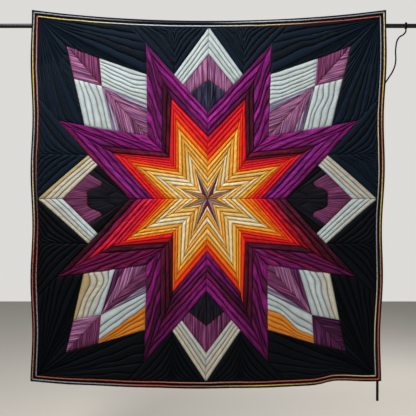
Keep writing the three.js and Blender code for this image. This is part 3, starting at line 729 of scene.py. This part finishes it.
# Upper and lower kites: shares of the inner seam, tints, bow and fan of the strips toward the upper
# or lower arm, and tints of the two inner mauve patches
KITES = {
    1: ((0.49, 0.45), [WHITE] * 7, 0.06, 0, ([LAVENDER, MAUVE], [LAVENDER, MAUVE])),
    -1: ((0.57, 0.5), [HONEY] * 4 + [WHITE] * 3, 0.12, 2.2, ([LAVENDER, ORCHID], [DUSK, MAUVE])),
}
KITE_SIDES = {
    (1, 1): [WHITE] * 5, (-1, 1): [WHITE] * 5,
    (-1, -1): [BEIGE, SHELL, SHELL, PEARL, WHITE], (1, -1): [SHELL, PEARL, WHITE, WHITE, WHITE],
}
KITE_TIPS = {(1, -1): (FIG, AUBERGINE)}
FAN_SHARES = [0, 0.28, 1]
for mirror in QUARTERS:
    (up_share, side_share), up_tints, up_bow, up_fan, fans = KITES[mirror[1]]
    inner_up = between(kite_up, mid_notch, up_share)
    inner_side = between(kite_side, mid_notch, side_share)
    corners = (outer_up, kite_up, kite_middle, inner_up)
    white_strips.patch(corners, even(len(up_tints)), up_tints, mirror,
                       sway=0.07, bow=up_bow, fan=up_fan, thread="tan_stitches")
    corners, side_tints = (outer_side, kite_side, kite_middle, inner_side), KITE_SIDES[mirror]
    white_strips.patch(corners, even(len(side_tints)), side_tints, mirror,
                       sway=0.11, bow=0.05, thread="tan_stitches")
    for stop, tint in zip((outer_up, outer_side), KITE_TIPS.get(mirror, (ORCHID, MAUVE))):
        threads = straight_grain((kite_middle - stop) * mirror)
        corners = (KITE_TIP, stop, KITE_TIP, kite_middle)
        slub_strips.patch(corners, even(1), [tint], mirror, grain=threads)
    for stop, tints in zip((inner_up, inner_side), fans):
        threads = straight_grain((stop - kite_middle) * mirror)
        corners = (kite_middle, stop, kite_middle, mid_notch)
        slub_strips.patch(corners, FAN_SHARES, tints, mirror, sway=0.03, grain=threads)


# The chevron diamonds at the middle of each side: four white or cream strips, a slubbed mauve
# chevron and a charcoal point that reaches into the star's notch. At the left and right the mauve
# has a lobed edge.
SLATE, GRAPHITE, CHARCOAL, SOOT = hue("#2d3246"), hue("#1b1c24"), hue("#14161f"), hue("#07080b")
CHEVRON_CLOTHS = {
    ("up", 1): (MAUVE, SLATE), ("up", -1): (ORCHID, GRAPHITE),
    ("side", 1): (ORCHID, CHARCOAL), ("side", -1): (ORCHID, CHARCOAL),
}
CHEVRON_STRIPS = {
    ("up", 1): [WHITE, WHITE, WHITE, WHITE], ("up", -1): [SHELL, SHELL, PEARL, PEARL],
    ("side", 1): [SHELL, PEARL, SHELL, WHITE], ("side", -1): [BEIGE, SHELL, SHELL, SHELL],
    ("side", 1, -1): [PEARL, WHITE, WHITE, WHITE], ("side", -1, -1): [SHELL, PEARL, WHITE, WHITE],
}
# Points on the middle line in millimetres, and shares of the way along the arm's edge
CHEVRONS = {
    "up": ([(0, 772), (0, 650), (0, 537)], (0.55, 0.4, 0.285)),
    "side": ([(734, 0), (626, 0), (507, 0)], (0.57, 0.44, 0.31)),
}
LOBES_REACH, LOBES_IN, LOBES_DEPTH, LOBES_TURN = 0.74, 0.31, 0.045, 2.4 * math.pi
LOBE_STEPS, GRAIN_SPREAD = 40, 0.25
POINT_SWAY = 0.03


def upright_grain(flat):
    """Threads that run straight up the quilt."""
    return flat[..., 1], flat[..., 0]


def spread_grain(flat):
    """Threads that spread from the star's level notch."""
    from_notch = np.abs(flat) - outer_ring["notch_side"]
    turn = np.arctan2(from_notch[..., 1], from_notch[..., 0])
    return np.linalg.norm(from_notch, axis=-1), GRAIN_SPREAD * turn


chevron_ends = {}
for mirror in QUARTERS:
    for kind, (axis_mm, edge_shares) in CHEVRONS.items():
        axis = np.array(axis_mm) * MM
        notch, tip = outer_ring[f"notch_{kind}"], outer_ring[f"tip_{kind}"]
        edge = [between(notch, tip, share) for share in edge_shares]
        chevron_ends[kind] = edge[0]
        side_key = mirror[1] if kind == "up" else mirror[0]
        tints = CHEVRON_STRIPS.get((kind, *mirror), CHEVRON_STRIPS[kind, side_key])
        mauve, point = CHEVRON_CLOTHS[kind, side_key]
        white_strips.patch((axis[0], edge[0], axis[1], edge[1]), even(len(tints)), tints, mirror,
                           sway=POINT_SWAY, thread="tan_stitches")
        if kind == "up":
            corners = (axis[1], edge[1], axis[2], edge[2])
            slub_strips.patch(corners, even(1), [mauve], mirror, grain=upright_grain)
            corners = (notch, edge[2], notch, axis[2])
            slub_strips.patch(corners, even(2), [point, point], mirror, grain=upright_grain)
            continue
        stop = between(axis[1], edge[1], LOBES_REACH)
        t = np.linspace(0, 1, LOBE_STEPS)[:, None]
        lobes = LOBES_IN + LOBES_DEPTH * np.cos(LOBES_TURN * t)
        rail = between(axis[1], stop, t)
        seams = [between(rail, notch, share) for share in (0 * t, lobes, 0.5 + 0.5 * lobes, 1 + 0 * t)]
        slub_strips.sew(seams, [mauve, point, point], mirror, grain=spread_grain)
        corners = (notch, stop, notch, edge[1])
        slub_strips.patch(corners, even(2), [point, SOOT], mirror, sway=POINT_SWAY, grain=spread_grain)

linen = Finish("white_cotton", Specular_IOR_Level=0.12)
surface, mottle, cloth, light = woven(linen, 0.7)
stain = linen.noise(linen.coordinates(), 9.0, 5, 0.62)
STAIN_TAN = hue("#c9a868")
aged = linen.mixed(0.18 * stain, cloth, STAIN_TAN)
linen.feed("Base Color", linen.tinted(aged, light))
linen.feed("Roughness", 0.7 + 0.2 * mottle)
linen.raised(surface, 1.6 * MM, 0.8)
white_strips.make(linen.material)

slub = Finish("slubbed_silk", Specular_IOR_Level=0.07)
surface, mottle, cloth, light = woven(slub)
streak = slub.noise(slub.stretched("UV", (6, 250, 1)), 1.0, 3, 0.65)
thick = slub.noise(slub.stretched("UV", (4, 110, 1)), 1.0, 2, 0.5)
SILK_STOPS = [
    (0.4, (0.16, 0.09, 0.15)), (0.47, (0.55, 0.42, 0.56)),
    (0.53, (1.0, 0.95, 1.0)), (0.6, (2.1, 1.95, 1.85)),
]
silk = slub.start.node("ShaderNodeValToRGB", {"Fac": 0.8 * streak + 0.2 * thick}, stops=SILK_STOPS)
dyed = slub.start.node("ShaderNodeVectorMath", {0: cloth, 1: silk}, operation="MULTIPLY")
slub.feed("Base Color", slub.tinted(dyed, light))
slub.feed("Roughness", 0.5 + 0.25 * streak)
slub.raised(2.0 * streak + 1.2 * thick + 0.5 * surface, 0.9 * MM, 0.8)
slub_strips.make(slub.material)


# The ground: navy-black cotton in the angles between star, kites, diamonds and border, quilted in
# herringbone lines beside the diamonds and in lines that spread from each corner.
INK, NAVY, SHADED_JET, SHADOW = hue("#08121c"), hue("#0a1826"), hue("#05080c"), hue("#060b11")
ECHO_COUNT = 7
SPREAD_WIDTH = 45 * MM
ground_strips = Patchwork("ground_cloth", seed=31, puff=5.5 * MM, pucker=1.3, seam_shade=0.2,
                          across=6, spacing=8 * MM)
BORDER = 28 * MM
top_edge, side_edge = HALF_HEIGHT - BORDER, HALF_WIDTH - BORDER
corner = np.array((side_edge, top_edge))


def line_to_border(start, through, axis, level):
    return between(start, through, (level - start[axis]) / (through[axis] - start[axis]))


up_end, side_end = chevron_ends["up"], chevron_ends["side"]
up_seam, side_seam = np.array((up_end[0], top_edge)), np.array((side_edge, side_end[1]))
up_border = line_to_border(up_end, outer_ring["tip_up"], 1, top_edge)
side_border = line_to_border(side_end, outer_ring["tip_side"], 0, side_edge)
ECHOES = [
    (up_end, (0, top_edge), up_seam), (up_end, up_border, up_seam),
    (side_end, (side_edge, 0), side_seam), (side_end, side_border, side_seam),
]
SPREADS = [
    [KITE_TIP, outer_up, kite_up, outer_ring["tip_up"], up_border],
    [KITE_TIP, outer_side, kite_side, outer_ring["tip_side"], side_border],
]
for mirror in QUARTERS:
    # Painted shade: the ground of the lower half gets the darker tones, standing in for the light from
    # above falling off toward the hem.
    tones, thread = ((NAVY, INK), "pale_stitches") if mirror[1] > 0 else ((SHADOW, SHADED_JET), None)
    for end, border, seam in ECHOES:
        tints = [tones[n % 2] for n in range(ECHO_COUNT)]
        ground_strips.patch((end, border, seam, seam), even(ECHO_COUNT), tints, mirror,
                            sway=0.02, bow=0.13, thread=thread)
    for stops in SPREADS:
        for first, second in zip(stops, stops[1:]):
            count = max(1, round(np.linalg.norm(np.subtract(second, first)) / SPREAD_WIDTH))
            tints = [tones[n % 2] for n in range(count)]
            ground_strips.patch((corner, first, corner, second), even(count), tints, mirror,
                                sway=0.08, bow=0.14, thread=thread)

ground = Finish("navy_cotton", Specular_IOR_Level=0.07)
surface, mottle, cloth, light = woven(ground)
ground.feed("Base Color", ground.tinted(cloth, light))
ground.feed("Roughness", 0.5 + 0.22 * mottle)
ground.raised(surface, 1.2 * MM, 0.8)
ground_strips.make(ground.material)


# Batting and border of the quilt: one closed sheet behind the patches, with plain black cotton at
# the border in front, and the backing cloth behind it, which the quilting lines pull in between puffs.
BORDER_BLEND = 40 * MM


def cloth_grid(inset, spacing):
    """Even flat points over the quilt, and four-sided faces between them that look forward."""
    half_u, half_v = HALF_WIDTH - inset, HALF_HEIGHT - inset
    columns = np.linspace(-half_u, half_u, int(2 * half_u / spacing))
    rows = np.linspace(-half_v, half_v, int(2 * half_v / spacing))
    flat_u, flat_v = np.meshgrid(columns, rows)
    index = np.arange(flat_u.size).reshape(flat_u.shape)
    quads = np.stack([index[:-1, :-1], index[:-1, 1:], index[1:, 1:], index[1:, :-1]], axis=-1)
    rim = np.concatenate([index[0, :], index[1:, -1], index[-1, -2::-1], index[-2:0:-1, 0]])
    to_edge = np.minimum(HALF_WIDTH - np.abs(flat_u), HALF_HEIGHT - np.abs(flat_v))
    inside = smoothstep(0, BORDER_BLEND, to_edge - BORDER)
    return flat_u, flat_v, quads.reshape(-1, 4), rim, inside


RIM = 1.5 * MM
BORDER_BLACK, BACKING_BLUE = hue("#0e1116"), hue("#39414f")
BODY_GRID, FRONT_RECESS, BACK_RECESS = 16 * MM, 1.6 * MM, 0.8 * MM
grid_u, grid_v, front_faces, rim, inside = cloth_grid(RIM, BODY_GRID)
front = hang(grid_u, grid_v, SEAM_OUT - FRONT_RECESS * inside).reshape(-1, 3)
recess = np.full(grid_u.size, BACK_RECESS)
recess[rim] = 0
back = hang(grid_u, grid_v, recess.reshape(grid_u.shape)).reshape(-1, 3)
after = np.roll(rim, -1)
back_faces = front_faces[:, ::-1] + len(front)
rim_faces = np.stack([after, rim, rim + len(front), after + len(front)], axis=-1)
body_uvs = np.stack([grid_u.ravel(), grid_v.ravel()], axis=1)
body_tint = np.broadcast_to(BORDER_BLACK, (2 * len(front), 3))
body_faces = np.concatenate([front_faces, back_faces, rim_faces])
quilt_body = mesh_piece("quilt_body", np.concatenate([front, back]), body_faces, ground.material,
                        np.concatenate([body_uvs, body_uvs]), body_tint)

BACKING_INSET, BACKING_GRID = 7 * MM, 5.8 * MM
BACKING_SWELL, SEAM_PULL = 4.2 * MM, 6 * MM
ROD_PRESSED, ROD_FREE = 12 * MM, 45 * MM
seam_points = np.concatenate([seam for seam, _ in quilting_lines])
seam_finder = kdtree.KDTree(len(seam_points))
for n, place in enumerate(seam_points):
    seam_finder.insert((place[0], place[1], 0), n)
seam_finder.balance()
grid_u, grid_v, faces, _, inside = cloth_grid(BACKING_INSET, BACKING_GRID)
backing_uvs = np.stack([grid_u.ravel(), grid_v.ravel()], axis=1)
to_seam = np.array([seam_finder.find((u, v, 0))[2] for u, v in backing_uvs]).reshape(grid_u.shape)
pulled = 1 - np.exp(-to_seam / SEAM_PULL)
off_rod = smoothstep(ROD_PRESSED, ROD_FREE, np.abs(hang(grid_u, grid_v, 0)[..., 2]))
backing_points = hang(grid_u, grid_v, -BACKING_SWELL * pulled * inside * off_rod).reshape(-1, 3)
# Painted shade: the backing is darker where the quilting lines pull it in, as the shade in those hollows.
backing_tint = (0.55 + 0.45 * pulled.ravel())[:, None] * np.array(BACKING_BLUE)
backing = mesh_piece("backing_cloth", backing_points, faces[:, ::-1], ground.material, backing_uvs,
                     backing_tint)
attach(backing, "root")
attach(quilt_body, "root")
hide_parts("quilt")


# Hand quilting: short running stitches through all layers, of pale grey-blue thread in the lines of
# the upper ground and of tan thread in the white patches. They show on the back too.
class Maker:
    """A Geometry Nodes tree with named size inputs, run once on an object and made a plain mesh."""

    def __init__(self, name, sizes):
        self.tree = bpy.data.node_groups.new(name, "GeometryNodeTree")
        face = self.tree.interface
        face.new_socket("Geometry", in_out="INPUT", socket_type="NodeSocketGeometry")
        sockets = [face.new_socket(size, in_out="INPUT", socket_type="NodeSocketFloat") for size in sizes]
        self.ids = {size: socket.identifier for size, socket in zip(sizes, sockets)}
        face.new_socket("Geometry", in_out="OUTPUT", socket_type="NodeSocketGeometry")
        given = self.tree.nodes.new("NodeGroupInput")
        self.given = {name: Wire(self.tree, given.outputs[name]) for name in ("Geometry", *sizes)}
        self.node = Wire(self.tree).node

    def run(self, result, piece, sizes):
        last = self.tree.nodes.new("NodeGroupOutput")
        self.tree.links.new(result.socket, last.inputs[0])
        modifier = piece.modifiers.new("maker", "NODES")
        modifier.node_group = self.tree
        for size, value in sizes.items():
            modifier[self.ids[size]] = value
        seen = piece.evaluated_get(bpy.context.evaluated_depsgraph_get())
        mesh = bpy.data.meshes.new_from_object(seen)
        piece.modifiers.remove(modifier)
        piece.data = mesh


def copies_along(name, points, edges, one_copy, material, sizes, front=None):
    """A piece of like copies at even steps along lines, that may all turn their tops to the front."""
    lines = bpy.data.meshes.new(name)
    lines.from_pydata(points, edges, [])
    piece = placed_object(name, lines)
    maker = Maker(name, sizes)
    curves = maker.node("GeometryNodeMeshToCurve", {0: maker.given["Geometry"]})
    steps = {"Curve": curves, "Length": maker.given["Pitch"]}
    spaced = maker.node("GeometryNodeResampleCurve", steps, mode="LENGTH")
    tangent = maker.node("GeometryNodeInputTangent", {})
    turned = maker.node("FunctionNodeAlignRotationToVector", {"Vector": tangent}, axis="Z")
    if front:
        facing = {"Rotation": turned, "Vector": front}
        turned = maker.node("FunctionNodeAlignRotationToVector", facing, axis="Y", pivot_axis="Z")
    copies = {"Points": spaced, "Instance": one_copy(maker, maker.given), "Rotation": turned}
    placed = maker.node("GeometryNodeInstanceOnPoints", copies)
    real = maker.node("GeometryNodeRealizeInstances", {"Geometry": placed})
    dyed = maker.node("GeometryNodeSetMaterial", {"Geometry": real, "Material": material})
    maker.run(dyed, piece, sizes)
    return piece


def running_stitch(maker, given):
    """A short straight stitch as a thin bar."""
    width, length = given["Thread Width"], given["Stitch Length"]
    size = maker.node("ShaderNodeCombineXYZ", {0: width, 1: width, 2: length})
    return maker.node("GeometryNodeMeshCube", {"Size": size})


STITCHES_FROM_CORNER = 0.2
STITCH_OUT = SEAM_OUT + 0.5 * MM
STITCH_SIZES = {"Pitch": 9 * MM, "Stitch Length": 4.2 * MM, "Thread Width": 0.75 * MM}
THREAD_DYES = {"pale_stitches": ("#2a3442", "#687584"), "tan_stitches": ("#5a4a36", "#94815f")}
for name, (dark, pale) in THREAD_DYES.items():
    points, edges = [], []
    for seam, thread in quilting_lines:
        if thread != name:
            continue
        seam = seam[np.linalg.norm(np.abs(seam) - corner, axis=1) > STITCHES_FROM_CORNER]
        for out in (STITCH_OUT, 0):
            edges.extend((len(points) + n, len(points) + n + 1) for n in range(len(seam) - 1))
            points.extend(hang(seam[:, 0], seam[:, 1], out).tolist())
    cotton_thread = Finish(f"{name}_thread", Roughness=0.7)
    thread_twist = cotton_thread.noise(cotton_thread.coordinates(), 700)
    cotton_thread.feed("Base Color", cotton_thread.mixed(thread_twist, hue(dark), hue(pale)))
    stitches = copies_along(name, points, edges, running_stitch, cotton_thread.material, STITCH_SIZES)
    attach(stitches, "root")


# The two edge cords on each side: twisted from three plies of space-dyed yarn, so that the colour
# drifts along them, and couched down on the border beside the binding.
CORD_RADIUS, CORD_STEP, CORD_SUNK = 2.6 * MM, 2.6 * MM, 0.3 * MM
CORD_SWAY, CORD_SWAY_LENGTH = 0.7 * MM, 0.12
PLIES, PLY_SIDES = 3, 5
PLY_RADIUS, PLY_REACH, PLY_PITCH = 1.45 * MM, 1.2 * MM, 13 * MM
SEWN_GAP, MITRE_GAP = 0.5 * MM, 0.2 * MM
OUTER_CORD_IN, INNER_CORD_IN = 9.8 * MM, 25 * MM
SIDES = {
    "top": (HALF_WIDTH, lambda s, inset: (s, HALF_HEIGHT - inset)),
    "right": (HALF_HEIGHT, lambda s, inset: (HALF_WIDTH - inset, -s)),
    "bottom": (HALF_WIDTH, lambda s, inset: (-s, inset - HALF_HEIGHT)),
    "left": (HALF_HEIGHT, lambda s, inset: (inset - HALF_WIDTH, s)),
}
GREY, NIGHT, SKY, SAND = hue("#8b919c"), hue("#2a2438"), hue("#c3cdd8"), hue("#d8c48f")
LEMON, CORAL, RUST = hue("#d8b548"), hue("#bb513d"), hue("#a8421f")
BRONZE, PINK = hue("#9a6a35"), hue("#b88078")
# Colours along each cord, clockwise round the quilt from its upper left corner
CORD_DYES = {
    ("outer", "top"): [GREY, GREY, NIGHT, NIGHT, SKY, GREY, GREY],
    ("inner", "top"): [LEMON, SAND, SKY, SKY, SAND, CORAL, CORAL],
    ("outer", "right"): [SAND, LEMON, CORAL, LEMON, BRONZE, CORAL, RUST],
    ("inner", "right"): [GREY, GREY, SAND, GREY, GREY, SAND, GREY],
    ("outer", "bottom"): [CORAL, BRONZE, LEMON, BRONZE, CORAL, GREY, GREY],
    ("inner", "bottom"): [SAND, CORAL, CORAL, PINK, CORAL, RUST, CORAL],
    ("outer", "left"): [BRONZE, CORAL, RUST, SAND, GREY, LEMON, GREY],
    ("inner", "left"): [GREY, GREY, RUST, NIGHT, CORAL, PINK, CORAL],
}
yarn = Finish("space_dyed_yarn", Roughness=0.75, Sheen_Weight=0.2)
yarn_cloth = yarn.start.node("ShaderNodeAttribute", {}, "Color", attribute_name="cloth_colour")
yarn_fibre = yarn.noise(yarn.stretched("UV", (400, 1600, 1)), 1.0, 2)
yarn_fleck = yarn.noise(yarn.coordinates(), 90, 3, 0.6)
yarn.feed("Base Color", yarn.tinted(yarn_cloth, 0.55 + 0.4 * yarn_fibre + 0.5 * yarn_fleck))
yarn.raised(yarn_fibre, 0.3 * MM, 0.8)
couched_points, couched_edges = [], []
for (lay, name), dyes in CORD_DYES.items():
    half, place = SIDES[name]
    inset = OUTER_CORD_IN if lay == "outer" else INNER_CORD_IN
    reach = half - inset - MITRE_GAP
    s = np.linspace(-reach, reach, int(2 * reach / CORD_STEP))
    rng = np.random.default_rng(sum(map(ord, lay + name)))
    sway = CORD_SWAY * smooth_noise(rng, s + reach, CORD_SWAY_LENGTH)
    u, v = place(s, inset + sway)
    centre = hang(u, v, SEAM_OUT + SEWN_GAP + CORD_RADIUS - CORD_SUNK)
    ahead = np.gradient(centre, axis=0)
    ahead /= np.linalg.norm(ahead, axis=1)[:, None]
    forward = np.array([0.0, -1.0, 0.0])
    sideways = np.cross(ahead, forward)
    base = len(couched_points)
    couched_points.extend(centre.tolist())
    couched_edges.extend((base + n, base + n + 1) for n in range(len(centre) - 1))
    drift, stops = np.linspace(0, len(dyes) - 1, len(s)), np.arange(len(dyes))
    dye = np.stack([np.interp(drift, stops, channel) for channel in zip(*dyes)], axis=1)
    plies, tints = [], []
    for ply in range(PLIES):
        twist = (2 * math.pi * ((s + reach) / PLY_PITCH + ply / PLIES))[:, None]
        path = centre + PLY_REACH * (sideways * np.cos(twist) + forward * np.sin(twist))
        plies.append(tube_mesh(path, PLY_RADIUS, PLY_SIDES))
        tints.append(np.repeat(dye * rng.uniform(0.85, 1.15), PLY_SIDES, axis=0))
    points, faces, uvs = joined(plies)
    cord = mesh_piece(f"{lay}_cord_{name}_twist", points, faces, yarn.material, uvs,
                      np.concatenate(tints))
    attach(cord, "root")
    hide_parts(f"{lay}_cord_{name}")


# Couching: small half loops of black thread over the edge cords, one every 26 mm, sewn down on both
# sides of the cord to tie it to the border.
LOOP_START, LOOP_SWEEP = math.radians(-15), math.radians(210)
COUCHING_SIZES = {
    "Pitch": 26 * MM, "Loop Radius": CORD_RADIUS + 0.1 * MM, "Thread Radius": 0.35 * MM,
}


def couching_loop(maker, given):
    """Half a ring of thread that stands over the cord."""
    arc = {"Radius": given["Loop Radius"], "Start Angle": LOOP_START, "Sweep Angle": LOOP_SWEEP}
    half_loop = maker.node("GeometryNodeCurveArc", {"Resolution": 9, **arc})
    thread_round = {"Resolution": 5, "Radius": given["Thread Radius"]}
    strand = maker.node("GeometryNodeCurvePrimitiveCircle", thread_round)
    return maker.node("GeometryNodeCurveToMesh", {"Curve": half_loop, "Profile Curve": strand})


couching = copies_along("couching_stitches", couched_points, couched_edges, couching_loop,
                        braid.material, COUCHING_SIZES, front=(0, -1, 0))
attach(couching, "root")


# The binding: a narrow bias strip of black cotton, folded over each edge and mitred at the corners,
# a little gathered where its hem stitches hold it.
BINDING_BLACK = hue("#101217")
BINDING_CLOTH, BINDING_LEG, BINDING_ROUND = 1.2 * MM, 6.6 * MM, 1.6 * MM
BINDING_STEP, BINDING_GATHER, GATHER_LENGTH = 5 * MM, 0.5 * MM, 18 * MM
back_out, front_out = -SEWN_GAP - BINDING_CLOTH, SEAM_OUT + SEWN_GAP + BINDING_CLOTH
back_in, front_in = back_out + BINDING_CLOTH, front_out - BINDING_CLOTH
bends = [(BINDING_ROUND * (1 - math.sin(a)), BINDING_ROUND * (1 - math.cos(a)))
         for a in np.linspace(0, math.pi / 2, 4)]
binding_section = [(BINDING_LEG, back_in), (BINDING_LEG, back_out), (0.5 * BINDING_LEG, back_out)]
binding_section += [(by_sine, back_out + by_cosine) for by_sine, by_cosine in bends]
binding_section += [(by_cosine, front_out - by_sine) for by_sine, by_cosine in bends]
binding_section += [(0.5 * BINDING_LEG, front_out), (BINDING_LEG, front_out), (BINDING_LEG, front_in)]
binding_section += [(BINDING_CLOTH, front_in), (BINDING_CLOTH, back_in)]
for name, (half, place) in SIDES.items():
    rng = np.random.default_rng(sum(map(ord, name)))
    stations = int(2 * half / BINDING_STEP)
    share = np.linspace(-1, 1, stations)
    gather = BINDING_GATHER * smooth_noise(rng, (share + 1) * half, GATHER_LENGTH)
    points = []
    for n, (inset, out) in enumerate(binding_section):
        u, v = place(share * (half - inset - MITRE_GAP), inset)
        outside = n < len(binding_section) - 3
        loose = outside and 0.2 * BINDING_LEG < inset < BINDING_LEG
        points.append(hang(u, v, out + (gather if loose else 0) * np.sign(out)))
    points = np.stack(points, axis=1).reshape(-1, 3)
    around = len(binding_section)
    step, k = np.arange(stations - 1)[:, None], np.arange(around)[None, :]
    here, there = step * around, (step + 1) * around
    after = (k + 1) % around
    quads = np.stack([here + k, there + k, there + after, here + after], axis=-1)
    quads = quads.reshape(-1, 4).tolist()
    quads.append(list(range(around)))
    quads.append(list(range(len(points) - around, len(points)))[::-1])
    way = np.stack(np.broadcast_arrays((share * half)[:, None], k * 2 * MM), axis=-1).reshape(-1, 2)
    tints = np.broadcast_to(BINDING_BLACK, (len(points), 3))
    binding = mesh_piece(f"binding_{name}_strip", points, quads, ground.material, way, tints)
    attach(binding, "root")
    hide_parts(f"binding_{name}")


# Thread tacks behind: groups of three loops of black thread, sewn into the backing and passed round
# the rod, that hold the quilt to it.
TACK_THREAD = 0.45 * MM
TACK_ROUND = ROD_RADIUS + ROD_GAP + TACK_THREAD
TACK_GROUPS_MM = [-640, -480, -320, -160, 0, 160, 320, 480, 640]
TACK_SPACING = 3 * MM
TACK_HALF_SPAN, TACK_DEPTH = 7.5 * MM, 1.0 * MM
TACK_FROM, TACK_TO = math.radians(32), math.radians(328)
tack_turn = np.linspace(TACK_FROM, TACK_TO, 30)
loops = []
for group in TACK_GROUPS_MM:
    for n in (-1, 0, 1):
        # The height on the cloth that hangs level with the rod's axis
        u, v = group * MM + n * TACK_SPACING, -STAR_CENTRE_Z
        for _ in range(4):
            v = v - float(hang(u, v, 0)[2])
        x, cloth_y, _ = hang(u, v, 0)
        ring = [(x, -TACK_ROUND * math.cos(a), TACK_ROUND * math.sin(a)) for a in tack_turn]
        start, stop = ((x, cloth_y - TACK_DEPTH, z) for z in (TACK_HALF_SPAN, -TACK_HALF_SPAN))
        path = [start] + ring + [stop]
        loops.append(tube_mesh(path, TACK_THREAD, sides=6, upright=(1.0, 0.0, 0.0)))
points, faces, uvs = joined(loops)
tacks = mesh_piece("rod_tacks", points, faces, braid.material, uvs)
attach(tacks, "root")


# The room: a plain pale floor below the hem, a soft key light from above and to the left, a weak
# fill from the right, a light from behind at the right, and a surround that is paler behind.
FLOOR_Z, FLOOR_REACH = -1.95, 6.0
FLOOR_GREY = hue("#a8a49d")
floor_signs = [(-1, -1), (1, -1), (1, 1), (-1, 1)]
floor_corners = [(x * FLOOR_REACH, y * FLOOR_REACH, FLOOR_Z) for x, y in floor_signs]
floor_mesh = bpy.data.meshes.new("floor")
floor_mesh.from_pydata(floor_corners, [], [(0, 1, 2, 3)])
floor = placed_object("floor", floor_mesh)
pale = Finish("pale_floor", Roughness=0.9)
pale.shader.inputs["Base Color"].default_value = (*FLOOR_GREY, 1)
floor_mesh.materials.append(pale.material)


def soft_light(name, place, aim, size, power, colour):
    data = bpy.data.lights.new(name, "AREA")
    data.size = size
    data.energy = power
    data.color = colour
    lamp = placed_object(name, data)
    lamp.location = place
    lamp.rotation_euler = (Vector(aim) - Vector(place)).to_track_quat("-Z", "Y").to_euler()


WARM_LIGHT, COOL_LIGHT = (1.0, 0.98, 0.96), (0.95, 0.97, 1.0)
soft_light("key", (-1.1, -1.85, 2.1), (0.05, 0, -0.8), size=0.7, power=160, colour=WARM_LIGHT)
soft_light("fill", (2.4, -2.6, 0.2), (0, 0, -0.9), size=2.0, power=9, colour=COOL_LIGHT)
soft_light("rear", (2.3, 1.1, 1.2), (0, 0, -0.75), size=0.6, power=170, colour=WARM_LIGHT)
world = bpy.data.worlds.new("studio")
world.use_nodes = True
sky = Wire(world.node_tree)
way = sky.node("ShaderNodeTexCoord", {}, "Generated")
behind = sky.node("ShaderNodeSeparateXYZ", {0: way}, "Y")
paleness = [(0.3, (0.075, 0.075, 0.08)), (0.8, (0.72, 0.71, 0.69))]
surround = sky.node("ShaderNodeValToRGB", {"Fac": 0.5 + 0.5 * behind}, stops=paleness)
world.node_tree.links.new(surround.socket, world.node_tree.nodes["Background"].inputs["Color"])
bpy.context.scene.world = world
